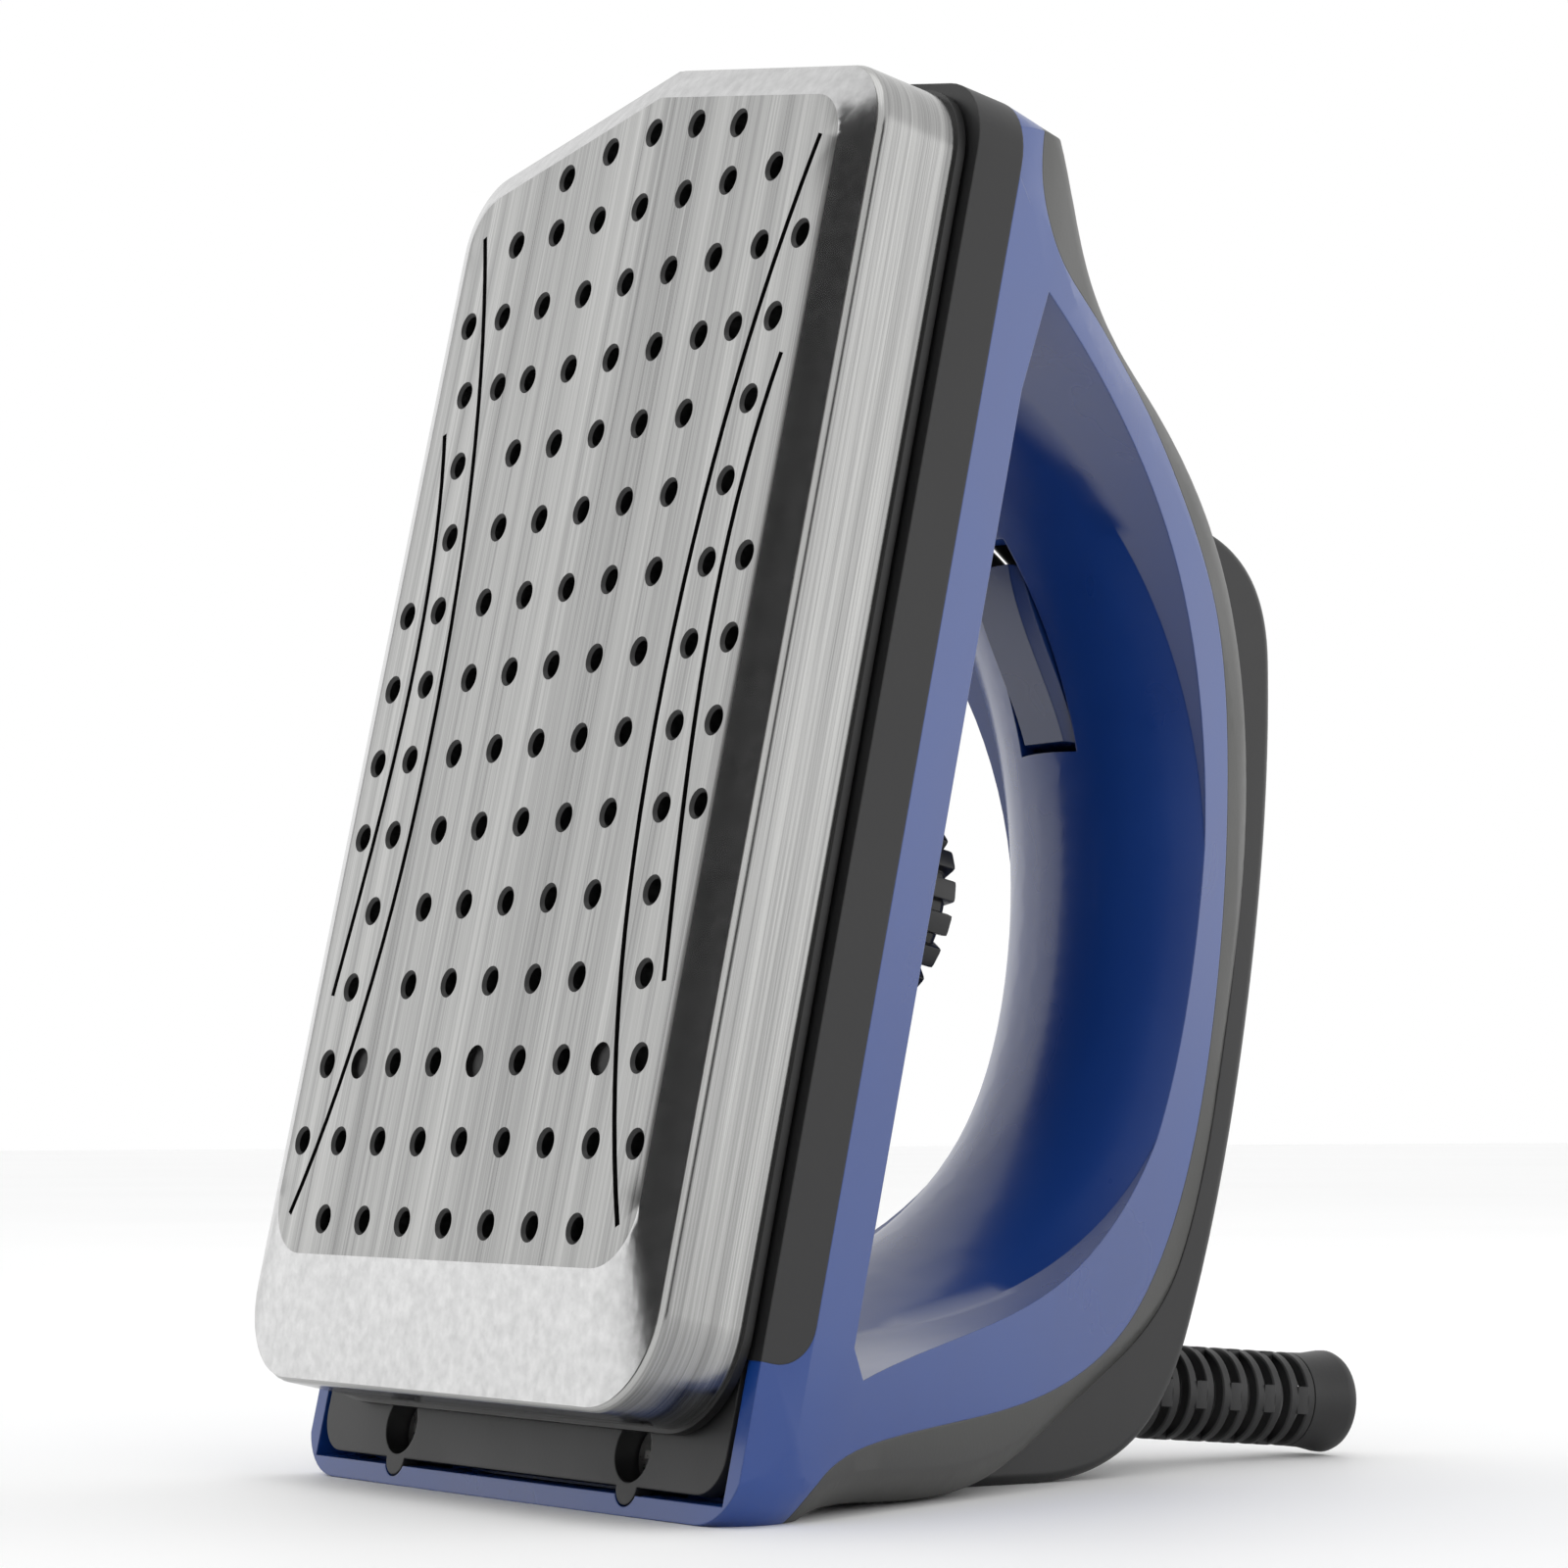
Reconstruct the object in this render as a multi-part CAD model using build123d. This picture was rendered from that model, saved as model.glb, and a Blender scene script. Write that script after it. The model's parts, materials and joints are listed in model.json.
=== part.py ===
"""Steam-station clothes iron, standing on its heel.

Everything is drawn in an ironing frame: x runs from heel to tip, y is the width, and z rises from the
flat face of the sole through the body to the handle.  stand_up() then tips each piece back onto its heel:
in the finished row +Z is up, +X is the width and the sole faces -Y.  Millimetres throughout.
"""
from build123d import *
import os
from functools import cache
from math import cos, radians, sin, tan

os.makedirs("parts", exist_ok=True)

# ---------------------------------------------------------------- driving dimensions
PITCH = 12.0            # spacing of the steam holes, both ways
HOLE_ROWS = 14          # full rows of steam holes
HOLE_R = 1.75
HOLE_DISH = 0.5         # width of the dished rim of each steam hole
LEAN = 12.32            # how far the sole leans back from upright when the iron stands

TIP_SLOPE = 10.5        # how far each half of the front edge falls back
SOLE_HALF = 57.6        # steel sole, half width
SOLE_TIP = 179.4
SOLE_HEEL = -24.6
SOLE_HEIGHT = 16.0      # height of the steel sole's rim
SOLE_WALL = 1.6
SOLE_FLOOR = 3.2
SOLE_HEEL_R = 14.4
SOLE_SHOULDER_R = 12.0
FACE_HALF = 51.3        # flat brushed face inside the bevel
FACE_TIP = 173.7
FACE_HEEL = -5.4
FACE_HEEL_R = 9.6
FACE_SHOULDER_R = 8.4
BEVEL_DROP = 2.4
GROOVE_W = 1.1
GROOVE_DEPTH = 0.7

GAP = 0.3               # clearance between neighbouring mouldings
WALL = 3.0              # wall of the plastic mouldings
SHIELD_T = 1.4          # heat shield between sole and skirt
SHIELD_OVERHANG = 0.6
GROOVE_GAP = 0.8        # height of the shadow gap above the shield
SKIRT_HALF = 60.0
SKIRT_TIP = 181.8
SKIRT_H = 8.0
HEEL_END = -37.0        # where the body meets the floor at the heel
HEEL_R = 10.0
HEEL_FACE_Z = 18.2      # face of the heel, level with the skirt
HEEL_RIM = 4.2          # blue rim round the black heel plate
SKIRT_END = -14.0       # the skirt's sides stop here and the blue heel begins

SIDE_LEAN = 0.432       # how much each side face leans in for every millimetre of height
DECK_Z = 36.0           # deck under the hand opening
GRIP_RIM_Z = 110.0      # top of the hand opening at the side faces
GRIP_SAG = 11.0         # how far the rounded grip hangs below that at its middle
GRIP_HALF = 25.0        # half width of the rounded part of the grip
BACK_Z = 126.5          # top of the handle's back
COVER_Z = 33.0          # where the grey cover starts at the nose
EDGE_R = 10.0           # rounding of the cover's two long edges
EDGE_SPARE = 0.2        # the rounding's section is this much wider than the body, so that they cross cleanly

REAR_Z = 128.6          # outer face of the rear housing
REAR_HALF_LOW = 23.4
REAR_HALF_HIGH = 11.4
REAR_TOP = 131.0

GUARD_R = 7.6
GUARD_BORE_R = 5.6
GUARD_FLARE_R = 8.3
GUARD_LENGTH = 55.0
GUARD_TILT = 7.8

DIAL_X = 63.0
DIAL_R = 15.6
DIAL_TOP = 68.8
DIAL_LOBES = 18
SHAFT_R = 3.0
SHAFT_FIT = 0.05
POD_HALF = 19.0
POD_TOP = 51.5

SKIRT_Z = SOLE_HEIGHT + SHIELD_T + GROOVE_GAP
BODY_Z = SKIRT_Z + SKIRT_H


# ---------------------------------------------------------------- shared shapes
def near(shape, spots):
    """The shape's vertices nearest to the given spots."""
    found = [min(shape.vertices(), key=lambda v: (v.X - x) ** 2 + (v.Y - y) ** 2) for x, y in spots]
    return ShapeList(found)


def plate(half, heel, tip, r_heel, r_shoulder):
    """Outline of the sole family: square heel, straight sides and a blunt pointed tip."""
    shoulder = tip - half * tan(radians(TIP_SLOPE))
    corners = [(heel, -half), (shoulder, -half), (tip, 0), (shoulder, half), (heel, half)]
    face = make_face(Polyline(*corners, close=True))
    face = fillet(near(face, [(shoulder, -half), (shoulder, half)]), r_shoulder)
    return fillet(near(face, [(heel, -half), (heel, half)]), r_heel)


def slab(face, low, high):
    """A plan outline raised from one height to another."""
    return extrude(Pos(0, 0, low) * face, high - low)


def side_slab(face, half):
    """A side outline, drawn as x and z, spread half to each side."""
    return extrude(Plane.XZ * face, half, both=True)


def rod(x, y, radius, low, high):
    """An upright cylinder between two heights."""
    return Pos(x, y, low) * Cylinder(radius, high - low, align=(Align.CENTER, Align.CENTER, Align.MIN))


def floor_x(z):
    """Where the floor lies at height z in the ironing frame."""
    return HEEL_END + (z - HEEL_FACE_Z) * tan(radians(LEAN))


# ---------------------------------------------------------------- body form
FLOOR_BREAK = 60.0      # height at which the handle's back leaves the floor
INSET_STEPS = 24        # spans used when a curved outline is moved inwards


def front_line():
    """The nose, from the skirt up to the start of the arched back."""
    return Line((180.5, BODY_Z), (146.5, 79.0))


def back_line():
    """The arched back of the handle, down to the floor at the heel."""
    return Spline((146.5, 79.0), (127.0, 105.5), (98.0, 121.0), (60.0, BACK_Z), (24.0, 125.0),
                  (3.0, 116.0), (-15.0, 90.0), (floor_x(FLOOR_BREAK), FLOOR_BREAK),
                  tangents=[(-34.0, 52.8), (floor_x(0) - floor_x(FLOOR_BREAK), -FLOOR_BREAK)])


def foot_line():
    """The flat heel that rests on the floor."""
    return Line((floor_x(FLOOR_BREAK), FLOOR_BREAK), (HEEL_END, HEEL_FACE_Z))


def moved_in(line, amount):
    """Points along a side line, each moved towards the inside of the body."""
    shares = [step / INSET_STEPS for step in range(INSET_STEPS + 1)]
    moves = [(line @ share, line % share) for share in shares]
    return [(spot.X - amount * along.Y, spot.Y + amount * along.X) for spot, along in moves]


def outer_side(inset=0.0):
    """Side outline of body and handle together."""
    front, back, foot = [moved_in(line(), inset) for line in (front_line, back_line, foot_line)]
    low = HEEL_FACE_Z + inset
    heel = (foot[0][0] - (foot[0][1] - low) * tan(radians(LEAN)), low)
    edge = [
        Polyline((180.5 - inset, low), (front[0][0], front[0][1]), front[-1]),
        Spline(*back, tangents=[back_line() % 0, back_line() % 1]) if inset else back_line(),
        Polyline(back[-1], heel, (180.5 - inset, low)),
    ]
    return make_face(edge)


def side_half(z):
    """Half width between the side faces at height z."""
    return min(SKIRT_HALF, SKIRT_HALF - SIDE_LEAN * (z - BODY_Z))


def wedge(inset=0.0):
    """The two side faces, upright at the base and leaning in above it."""
    high = 160.0
    half, top = SKIRT_HALF - inset, side_half(high) - inset
    face = make_face(Polyline((-half, 0), (-half, BODY_Z), (-top, high), (top, high), (half, BODY_Z),
                              (half, 0), close=True))
    return Pos(-80, 0, 0) * extrude(Plane.YZ * face, 300)


def nose(inset=0.0):
    """The pointed plan of the nose, leaning back as it rises."""
    lean = 9.0
    high = 75.0
    low = plate(SKIRT_HALF - inset, HEEL_END - 20, SKIRT_TIP - inset, HEEL_R, SOLE_SHOULDER_R)
    back = (high - BODY_Z) * tan(radians(lean))
    upper = plate(SKIRT_HALF - inset, HEEL_END - 20, SKIRT_TIP - inset - back, HEEL_R, SOLE_SHOULDER_R)
    return slab(low, 0, BODY_Z) + loft([Pos(0, 0, BODY_Z) * low, Pos(0, 0, high) * upper]) + slab(
        upper, high, 160)


def back_section(line, share, crown, round_r, depth):
    """A cross-section of the back: its plane, and the rounded outline in it."""
    spot, along = line @ share, line % share
    inward = Vector(-along.Y, 0, along.X)
    plane = Plane(origin=(spot.X, 0, spot.Y), x_dir=(0, 1, 0), z_dir=Vector(0, 1, 0).cross(inward))
    past = depth + 6.0
    top = side_half(spot.Y) + EDGE_SPARE
    deep = side_half(spot.Y + past * inward.Z) + 8 * EDGE_SPARE
    sides = [Line((-deep, past), (-top, crown)), Line((top, crown), (deep, past))]
    arch = ThreePointArc((-top, crown), (0, 0), (top, crown))
    face = make_face([sides[0], arch, sides[1], Line((deep, past), (-deep, past))])
    corners = ShapeList([v for v in face.vertices() if abs(v.Y - crown) < 1e-6])
    return (plane * fillet(corners, round_r),
            plane * (Pos(0, depth / 2 - 10) * Rectangle(2 * top + 60, depth + 20)))


def edge_trim():
    """What the rounded, slightly crowned back leaves of its sharp-edged block."""
    depth = 20.0
    front, back, foot = front_line(), back_line(), foot_line()
    stations = [(front, 0.0, 10.5, 5.0), (front, 0.5, 7.5, 9.0), (back, 0.0, 5.0, EDGE_R), (back, 0.16, 3.0, EDGE_R),
                (back, 0.34, 1.5, EDGE_R), (back, 0.5, 1.0, EDGE_R), (back, 0.66, 1.0, EDGE_R),
                (back, 0.8, 1.5, EDGE_R), (back, 0.91, 1.5, EDGE_R), (back, 1.0, 0.4, EDGE_R), (foot, 0.55, 0.2, EDGE_R),
                (foot, 1.0, 0.2, EDGE_R)]
    pairs = [back_section(*station, depth) for station in stations]
    return loft([block for _, block in pairs]) - loft([kept for kept, _ in pairs])


@cache
def body_form(inset=0.0):
    """Body and handle as one block, before the hand opening."""
    solid = side_slab(outer_side(inset), 70) & wedge(inset) & nose(inset)
    return solid if inset else solid - edge_trim()


def opening_side(sag, grow=0.0):
    """Side outline of the hand opening: flat deck below, arched grip above."""
    deck = DECK_Z - grow
    rise = (GRIP_RIM_Z - sag + grow - deck) / (GRIP_RIM_Z - DECK_Z)
    middle, reach = 66.0, 80.0
    arch = [(-13.0, 39.5), (-3.0, 62.0), (12.0, 90.0), (34.0, 106.5), (66.0, GRIP_RIM_Z),
            (100.0, 100.4), (121.0, 85.3), (136.0, 64.0), (146.5, 38.5)]
    placed = []
    for x, z in arch:
        share = min(1.0, 1.6 * (z - DECK_Z) / (GRIP_RIM_Z - DECK_Z))
        placed.append((middle + (x - middle) * (1.0 + (grow - 0.55 * sag * share) / reach),
                       deck + (z - DECK_Z) * rise))
    first = (placed[0][0] + 4.0, deck)
    last = (placed[-1][0] - 16.0, deck)
    return make_face([Line(last, first), Line(first, placed[0]), Spline(*placed), Line(placed[-1], last)])


@cache
def opening(grow=0.0):
    """The hand opening, narrower in the middle where the rounded grip hangs down."""
    stations = [(-GRIP_HALF, 0.0), (-0.52 * GRIP_HALF, 0.72), (0.0, 1.0),
                (0.52 * GRIP_HALF, 0.72), (GRIP_HALF, 0.0)]
    faces = [Pos(0, y, 0) * (Plane.XZ * opening_side(GRIP_SAG * share, grow)) for y, share in stations]
    outside = side_slab(opening_side(0.0, grow), 70) - Pos(66, 0, 60) * Box(300, 2 * GRIP_HALF, 200)
    return loft(faces) + outside


def blue_zone():
    """Everything in front of the line where the grey cover starts."""
    edge = Spline((184.0, 31.5), (172.0, 32.2), (160.8, COVER_Z), (152.6, 39.8), (149.4, 48.2), (144.0, 63.0),
                  (131.0, 84.6), (118.0, 99.0), (95.0, 110.4), (57.0, 118.2), (21.0, 115.1), (7.0, 107.6),
                  (-3.0, 95.5), (-12.0, 74.4), (-20.3, 46.7), (-25.0, 36.5), (-42.0, 29.0))
    return side_slab(make_face([edge, Line((-42.0, 29.0), (-42.0, 10.0)), Line((-42.0, 10.0), (184.0, 10.0)),
                                Line((184.0, 10.0), (184.0, 31.5))]), 75)


def skirt_zone(gap=0.0):
    """Side region taken by the skirt, with its rounded heel end."""
    corner = (SKIRT_END - gap, BODY_Z + gap)
    face = make_face(Polyline((SKIRT_END - gap, 0), corner, (260, BODY_Z + gap), (260, 0), close=True))
    face = fillet(near_side(face, corner), 6.0)
    return side_slab(face, 80)


def near_side(face, spot):
    """The corner of a side outline nearest to a spot."""
    return ShapeList([min(face.vertices(), key=lambda v: (v.X - spot[0]) ** 2 + (v.Y - spot[1]) ** 2)])


# ---------------------------------------------------------------- sole
OUTER_HOLES = {0: (3,), 1: (3, 3.95), 2: (3.7,), 3: (3.47,), 4: (3.3,), 5: (3.17, 3.95), 6: (3.12, 3.95),
               7: (3.1, 3.95), 8: (3.15, 3.95), 9: (3.23,), 10: (3.4,), 11: (2.75, 3.6), 12: (3, 3.86),
               13: (3,)}
TIP_HOLES = {0: 14.0, 1: 13.93, 2: 13.75}
SCREW_ROW = 2
SCREW_COLUMNS = (0, 2.86)


def both_sides(x, offset_y):
    """A spot on each side of the centre line, or one on it."""
    return [(x, 0.0)] if offset_y == 0 else [(x, -offset_y), (x, offset_y)]


def steam_holes():
    """Places of the steam holes: a square grid whose outer columns swerve round the grooves."""
    spots = []
    for row in range(HOLE_ROWS):
        inner = (1, 2) if row == SCREW_ROW else (0, 1, 2)
        for column in inner + OUTER_HOLES[row]:
            spots += both_sides(row * PITCH, column * PITCH)
    for column, row in TIP_HOLES.items():
        spots += both_sides(row * PITCH, column * PITCH)
    return spots


def sole_screw_spots():
    """Places of the three recessed screws among the holes."""
    return [spot for column in SCREW_COLUMNS for spot in both_sides(SCREW_ROW * PITCH, column * PITCH)]


def sole_outline(inset=0.0):
    """Plan of the steel sole's side, drawn in by inset."""
    return plate(SOLE_HALF - inset, SOLE_HEEL + inset, SOLE_TIP - inset, SOLE_HEEL_R - inset,
                 SOLE_SHOULDER_R - inset)


def groove_lines():
    """Centre lines of the engraved grooves on one side."""
    rows_long = [(13.25, 3.9), (10.1, 3.02), (6.2, 2.68), (3.1, 2.95), (0.05, 3.9)]
    rows_short = [(10.5, 3.93), (8.2, 3.52), (5.9, 3.55), (2.9, 3.92)]
    return [Spline(*[(row * PITCH, side * PITCH) for row, side in rows]) for rows in (rows_long, rows_short)]


def sole_plate():
    """Steel sole: bevelled face, rim, steam holes and grooves."""
    flat = plate(FACE_HALF, FACE_HEEL, FACE_TIP, FACE_HEEL_R, FACE_SHOULDER_R)
    rim = slab(sole_outline(), BEVEL_DROP, SOLE_HEIGHT)
    rim = fillet(rim.edges().group_by(Axis.Z)[0], 1.6)
    cushion = loft([flat, Pos(0, 0, BEVEL_DROP) * sole_outline(0.6)])
    solid = rim + cushion
    solid -= slab(sole_outline(SOLE_WALL), SOLE_FLOOR, SOLE_HEIGHT)
    drills = [rod(x, y, HOLE_R, -1, SOLE_FLOOR + 1) for x, y in steam_holes()]
    dish = Cone(HOLE_R + HOLE_DISH, HOLE_R, HOLE_DISH, align=(Align.CENTER, Align.CENTER, Align.MIN))
    drills += [Pos(x, y, 0) * dish for x, y in steam_holes()]
    drills += [rod(x, y, SOLE_SCREW_R + SHAFT_FIT, -1, SOLE_FLOOR + 1) for x, y in sole_screw_spots()]
    drills += [rod(x, y, SOLE_SCREW_R + 0.5, -1, SOLE_SCREW_DEPTH) for x, y in sole_screw_spots()]
    solid -= drills
    for line in groove_lines():
        cut = extrude(Pos(0, 0, -0.2) * trace(line, GROOVE_W), GROOVE_DEPTH + 0.2)
        solid -= [cut, cut.mirror(Plane.XZ)]
    return solid


SOLE_SCREW_R = 1.9
SOLE_SCREW_DEPTH = 0.7
CASTING_TOP = 9.2
CHAMBER_TOP = 12.0
CHAMBER = (12.0, 118.0, 25.0)      # heel end, tip end and half width of the steam chamber's block
CHAMBER_WALL = 4.0
GASKET_T = 0.6
LID_T = 1.2
ELEMENT_R = 3.2
ELEMENT_HALF = 36.0
ELEMENT_HEEL = -2.0
ELEMENT_TURN = 112.0
FRAME_SCREWS = ((-10.0, 0.0), (66.0, 47.0), (66.0, -47.0), (164.0, 0.0))
FRAME_SCREW_R = 2.0
BOSS_R = 4.2
INLET = (32.0, 0.0)
INLET_R = 4.0
FUSE_X = 96.0


def chamber_box(inset, low, high):
    """A block that follows the chamber's plan."""
    heel, tip, half = CHAMBER
    size = (tip - heel - 2 * inset, 2 * (half - inset), high - low)
    return Pos((heel + tip) / 2, 0, low) * Box(*size, align=(Align.CENTER, Align.CENTER, Align.MIN))


def sole_casting():
    """Aluminium casting with the steam chamber on top and the steam channels beneath."""
    inset = SOLE_WALL + GAP
    solid = slab(sole_outline(inset), SOLE_FLOOR, CASTING_TOP) + chamber_box(0, CASTING_TOP, CHAMBER_TOP)
    solid += [rod(x, y, BOSS_R, CASTING_TOP, SOLE_HEIGHT) for x, y in FRAME_SCREWS]
    solid -= chamber_box(CHAMBER_WALL, 6.4, CHAMBER_TOP)
    channel_top = 5.0
    bar = (Align.MIN, Align.CENTER, Align.MIN)
    for column in range(-3, 4):
        solid -= Pos(-4, column * PITCH, SOLE_FLOOR) * Box(164, 5, channel_top - SOLE_FLOOR, align=bar)
    for side in (-1, 1):
        solid -= Pos(8, side * 3.95 * PITCH, SOLE_FLOOR) * Box(142, 5, channel_top - SOLE_FLOOR, align=bar)
    for x in (2.0, 65.0, 140.0):
        solid -= Pos(x, 0, SOLE_FLOOR) * Box(5, 96, channel_top - SOLE_FLOOR,
                                             align=(Align.CENTER, Align.CENTER, Align.MIN))
    for x in (24.0, 48.0, 84.0, 108.0):
        solid -= [rod(x, y, 2.0, SOLE_FLOOR, 7) for y in (-PITCH, 0, PITCH)]
    solid -= [rod(x, y, FRAME_SCREW_R + SHAFT_FIT, CASTING_TOP - 1, SOLE_HEIGHT) for x, y in FRAME_SCREWS]
    solid -= [rod(x, y, SOLE_SCREW_R + SHAFT_FIT, SOLE_FLOOR, 8.2) for x, y in sole_screw_spots()]
    solid -= [rod(x, y, LID_SCREW_R + SHAFT_FIT, 8.5, CHAMBER_TOP) for x, y in lid_screw_spots()]
    return solid


def sole_screws():
    """Three small screws that hold the steel sole to the casting."""
    return Compound([rod(x, y, SOLE_SCREW_R, SOLE_SCREW_DEPTH, 8.0) for x, y in sole_screw_spots()])


LID_SCREW_R = 1.2


def lid_screw_spots():
    """Eight screws round the steam chamber's lid."""
    heel, tip, half = CHAMBER
    edge = CHAMBER_WALL / 2
    rows = [heel + edge + share * (tip - heel - 2 * edge) for share in (0.0, 1 / 3, 2 / 3, 1.0)]
    return [(x, side * (half - edge)) for x in rows for side in (-1, 1)]


def lid_holes(low, high):
    """Clearance holes for the lid's screws and the steam inlet."""
    holes = [rod(x, y, LID_SCREW_R + SHAFT_FIT, low, high) for x, y in lid_screw_spots()]
    return holes + [rod(*INLET, INLET_R + SHAFT_FIT, low, high)]


def chamber_gasket():
    """Flat gasket under the lid."""
    top = CHAMBER_TOP + GASKET_T
    ring = chamber_box(0, CHAMBER_TOP, top) - chamber_box(CHAMBER_WALL, CHAMBER_TOP, top)
    return ring - lid_holes(CHAMBER_TOP, top)


LID_Z = CHAMBER_TOP + GASKET_T + LID_T


def chamber_lid():
    """Lid of the steam chamber."""
    low = CHAMBER_TOP + GASKET_T
    return chamber_box(0, low, LID_Z) - lid_holes(low, LID_Z)


def lid_screws():
    """Screws of the chamber lid, each with a low head."""
    return Compound([rod(x, y, LID_SCREW_R, 9.0, LID_Z) + rod(x, y, 2.0, LID_Z, LID_Z + 1.6)
                     for x, y in lid_screw_spots()])


def heating_element():
    """U-shaped tubular element laid round the steam chamber, its two cold ends turned up."""
    z = CASTING_TOP + ELEMENT_R + 0.1
    line = Line((ELEMENT_HEEL, -ELEMENT_HALF, z), (ELEMENT_TURN, -ELEMENT_HALF, z))
    line += ThreePointArc((ELEMENT_TURN, -ELEMENT_HALF, z), (ELEMENT_TURN + ELEMENT_HALF, 0, z),
                          (ELEMENT_TURN, ELEMENT_HALF, z))
    line += Line((ELEMENT_TURN, ELEMENT_HALF, z), (ELEMENT_HEEL, ELEMENT_HALF, z))
    section = Plane(origin=(ELEMENT_HEEL, -ELEMENT_HALF, z), z_dir=(1, 0, 0)) * Circle(ELEMENT_R)
    solid = sweep(section, path=line)
    for side in (-1, 1):
        solid += Pos(ELEMENT_HEEL, side * ELEMENT_HALF, z) * Sphere(ELEMENT_R)
        solid += rod(ELEMENT_HEEL, side * ELEMENT_HALF, ELEMENT_R, z, POST_TOP)
    return solid


POST_TOP = 24.0
TAB_TOP = 29.0


def element_terminals():
    """Push-on tabs welded to the element's cold ends."""
    bottom = (Align.CENTER, Align.CENTER, Align.MIN)
    return Compound([Pos(ELEMENT_HEEL, side * ELEMENT_HALF, POST_TOP) * Box(6.3, 0.8, TAB_TOP - POST_TOP, align=bottom)
                     for side in (-1, 1)])


def service_holes(low, high):
    """Holes through shield and frame for what rises from the sole."""
    holes = [rod(ELEMENT_HEEL, side * ELEMENT_HALF, ELEMENT_R + 1.5, low, high) for side in (-1, 1)]
    holes += [rod(DIAL_X, 0, 14.0, low, high), rod(FUSE_X, 0, 8.0, low, high), rod(*INLET, 6.5, low, high)]
    return holes + [rod(x, y, 2.2, low, high) for x, y in lid_screw_spots()]


def heat_shield():
    """Thin black plate between the hot sole and the plastic, with a raised centre that leaves a groove."""
    high = SOLE_HEIGHT + SHIELD_T
    solid = slab(sole_outline(-SHIELD_OVERHANG), SOLE_HEIGHT, high) + slab(sole_outline(2.2), high, SKIRT_Z)
    solid -= service_holes(SOLE_HEIGHT, SKIRT_Z)
    return solid - [rod(x, y, FRAME_SCREW_R + SHAFT_FIT, SOLE_HEIGHT, SKIRT_Z) for x, y in FRAME_SCREWS]


# ---------------------------------------------------------------- base frame
WEB_T = 2.6
HEEL_SCREWS = ((-27.8, 32.5), (-27.8, -32.5))
HEEL_WELL_R = 4.5
HEEL_WELL_TOP = 27.0
HEEL_WELL_WALL = 1.2
SCALLOP_R = 2.6         # bulges of the heel plate beside its two wells
HEEL_SCREW_R = 2.0
HEEL_PLATE_END = HEEL_END + HEEL_RIM


def heel_plan(grow=0.0):
    """Plan of the black heel plate inside its blue rim."""
    half = SKIRT_HALF - HEEL_RIM + grow
    return plate(half, HEEL_PLATE_END - grow, 90, HEEL_R - HEEL_RIM + grow, 2.0)


def base_frame():
    """Black skirt, its web, and the heel plate with two deep screw wells."""
    outline = plate(SKIRT_HALF, -30, SKIRT_TIP, 5.0, SOLE_SHOULDER_R)
    inner = plate(SKIRT_HALF - WALL, -60, SKIRT_TIP - WALL, 2.0, SOLE_SHOULDER_R - WALL)
    ring = (slab(outline, SKIRT_Z, BODY_Z) - slab(inner, SKIRT_Z + WEB_T, BODY_Z)) & skirt_zone()
    heel = slab(heel_plan(), SKIRT_Z, SKIRT_Z + WEB_T)
    scallops = [rod(HEEL_PLATE_END, y, SCALLOP_R, SKIRT_Z, SKIRT_Z + WEB_T) for x, y in HEEL_SCREWS]
    wells = [rod(x, y, HEEL_WELL_R + HEEL_WELL_WALL, SKIRT_Z, HEEL_WELL_TOP) for x, y in HEEL_SCREWS]
    solid = ring + heel + scallops + wells
    solid -= [rod(x, y, HEEL_WELL_R, 0, HEEL_WELL_TOP - 2.5) for x, y in HEEL_SCREWS]
    solid -= [rod(x, y, HEEL_SCREW_R + SHAFT_FIT, 0, 60) for x, y in HEEL_SCREWS]
    solid -= [rod(x, y, FRAME_SCREW_R + SHAFT_FIT, 0, 60) for x, y in FRAME_SCREWS]
    return solid - service_holes(0, 60)


def frame_screws():
    """Four screws that hold the frame and shield down on the sole casting."""
    top = SKIRT_Z + WEB_T
    return Compound([rod(x, y, FRAME_SCREW_R, 9.5, top) + rod(x, y, 3.8, top, top + 2.4)
                     for x, y in FRAME_SCREWS])


def heel_screws():
    """Two screws deep in the heel wells that hold the body to the frame."""
    seat = HEEL_WELL_TOP - 2.5
    head = [rod(x, y, 4.0, seat - 2.6, seat) - Pos(x, y, seat - 2.6) * Box(1.2, 5.0, 2.0)
            for x, y in HEEL_SCREWS]
    shank = [rod(x, y, HEEL_SCREW_R, seat, 43.0) for x, y in HEEL_SCREWS]
    return Compound([a + b for a, b in zip(head, shank)])


# ---------------------------------------------------------------- body and handle
TRIGGER_HALF = 6.5
TRIGGER_PIVOT = (99.0, 97.0)
TRIGGER_SLOT = (95.0, 124.0)
BOSS_T = 3.4             # thickness of each boss that holds the trigger's pin
PIN_R = 1.25
PIN_HALF = TRIGGER_HALF + 4.3


@cache
def cavity():
    """The hollow inside body and handle."""
    deck_room = slab(plate(90, -60, 260, 2, 2), HEEL_FACE_Z - 1, DECK_Z - WALL) & wedge(WALL) & nose(WALL)
    deck_room &= side_slab(outer_room(), 80)
    return (body_form(WALL) - opening(WALL)) + deck_room


def outer_room():
    """Side outline of the base's hollow, open at the bottom."""
    high = DECK_Z - WALL
    heel = floor_x(0) + WALL
    return make_face(Polyline((heel, 0), (floor_x(high) + WALL, high), (172.0, high), (180.0, 10.0), (180.0, 0),
                              close=True))


@cache
def heel_bosses():
    """The two bosses that take the heel screws, kept under the outer skin."""
    return [rod(x, y, 9.5, BODY_Z + 1, 44.0) & body_form(1.0) for x, y in HEEL_SCREWS]


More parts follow.
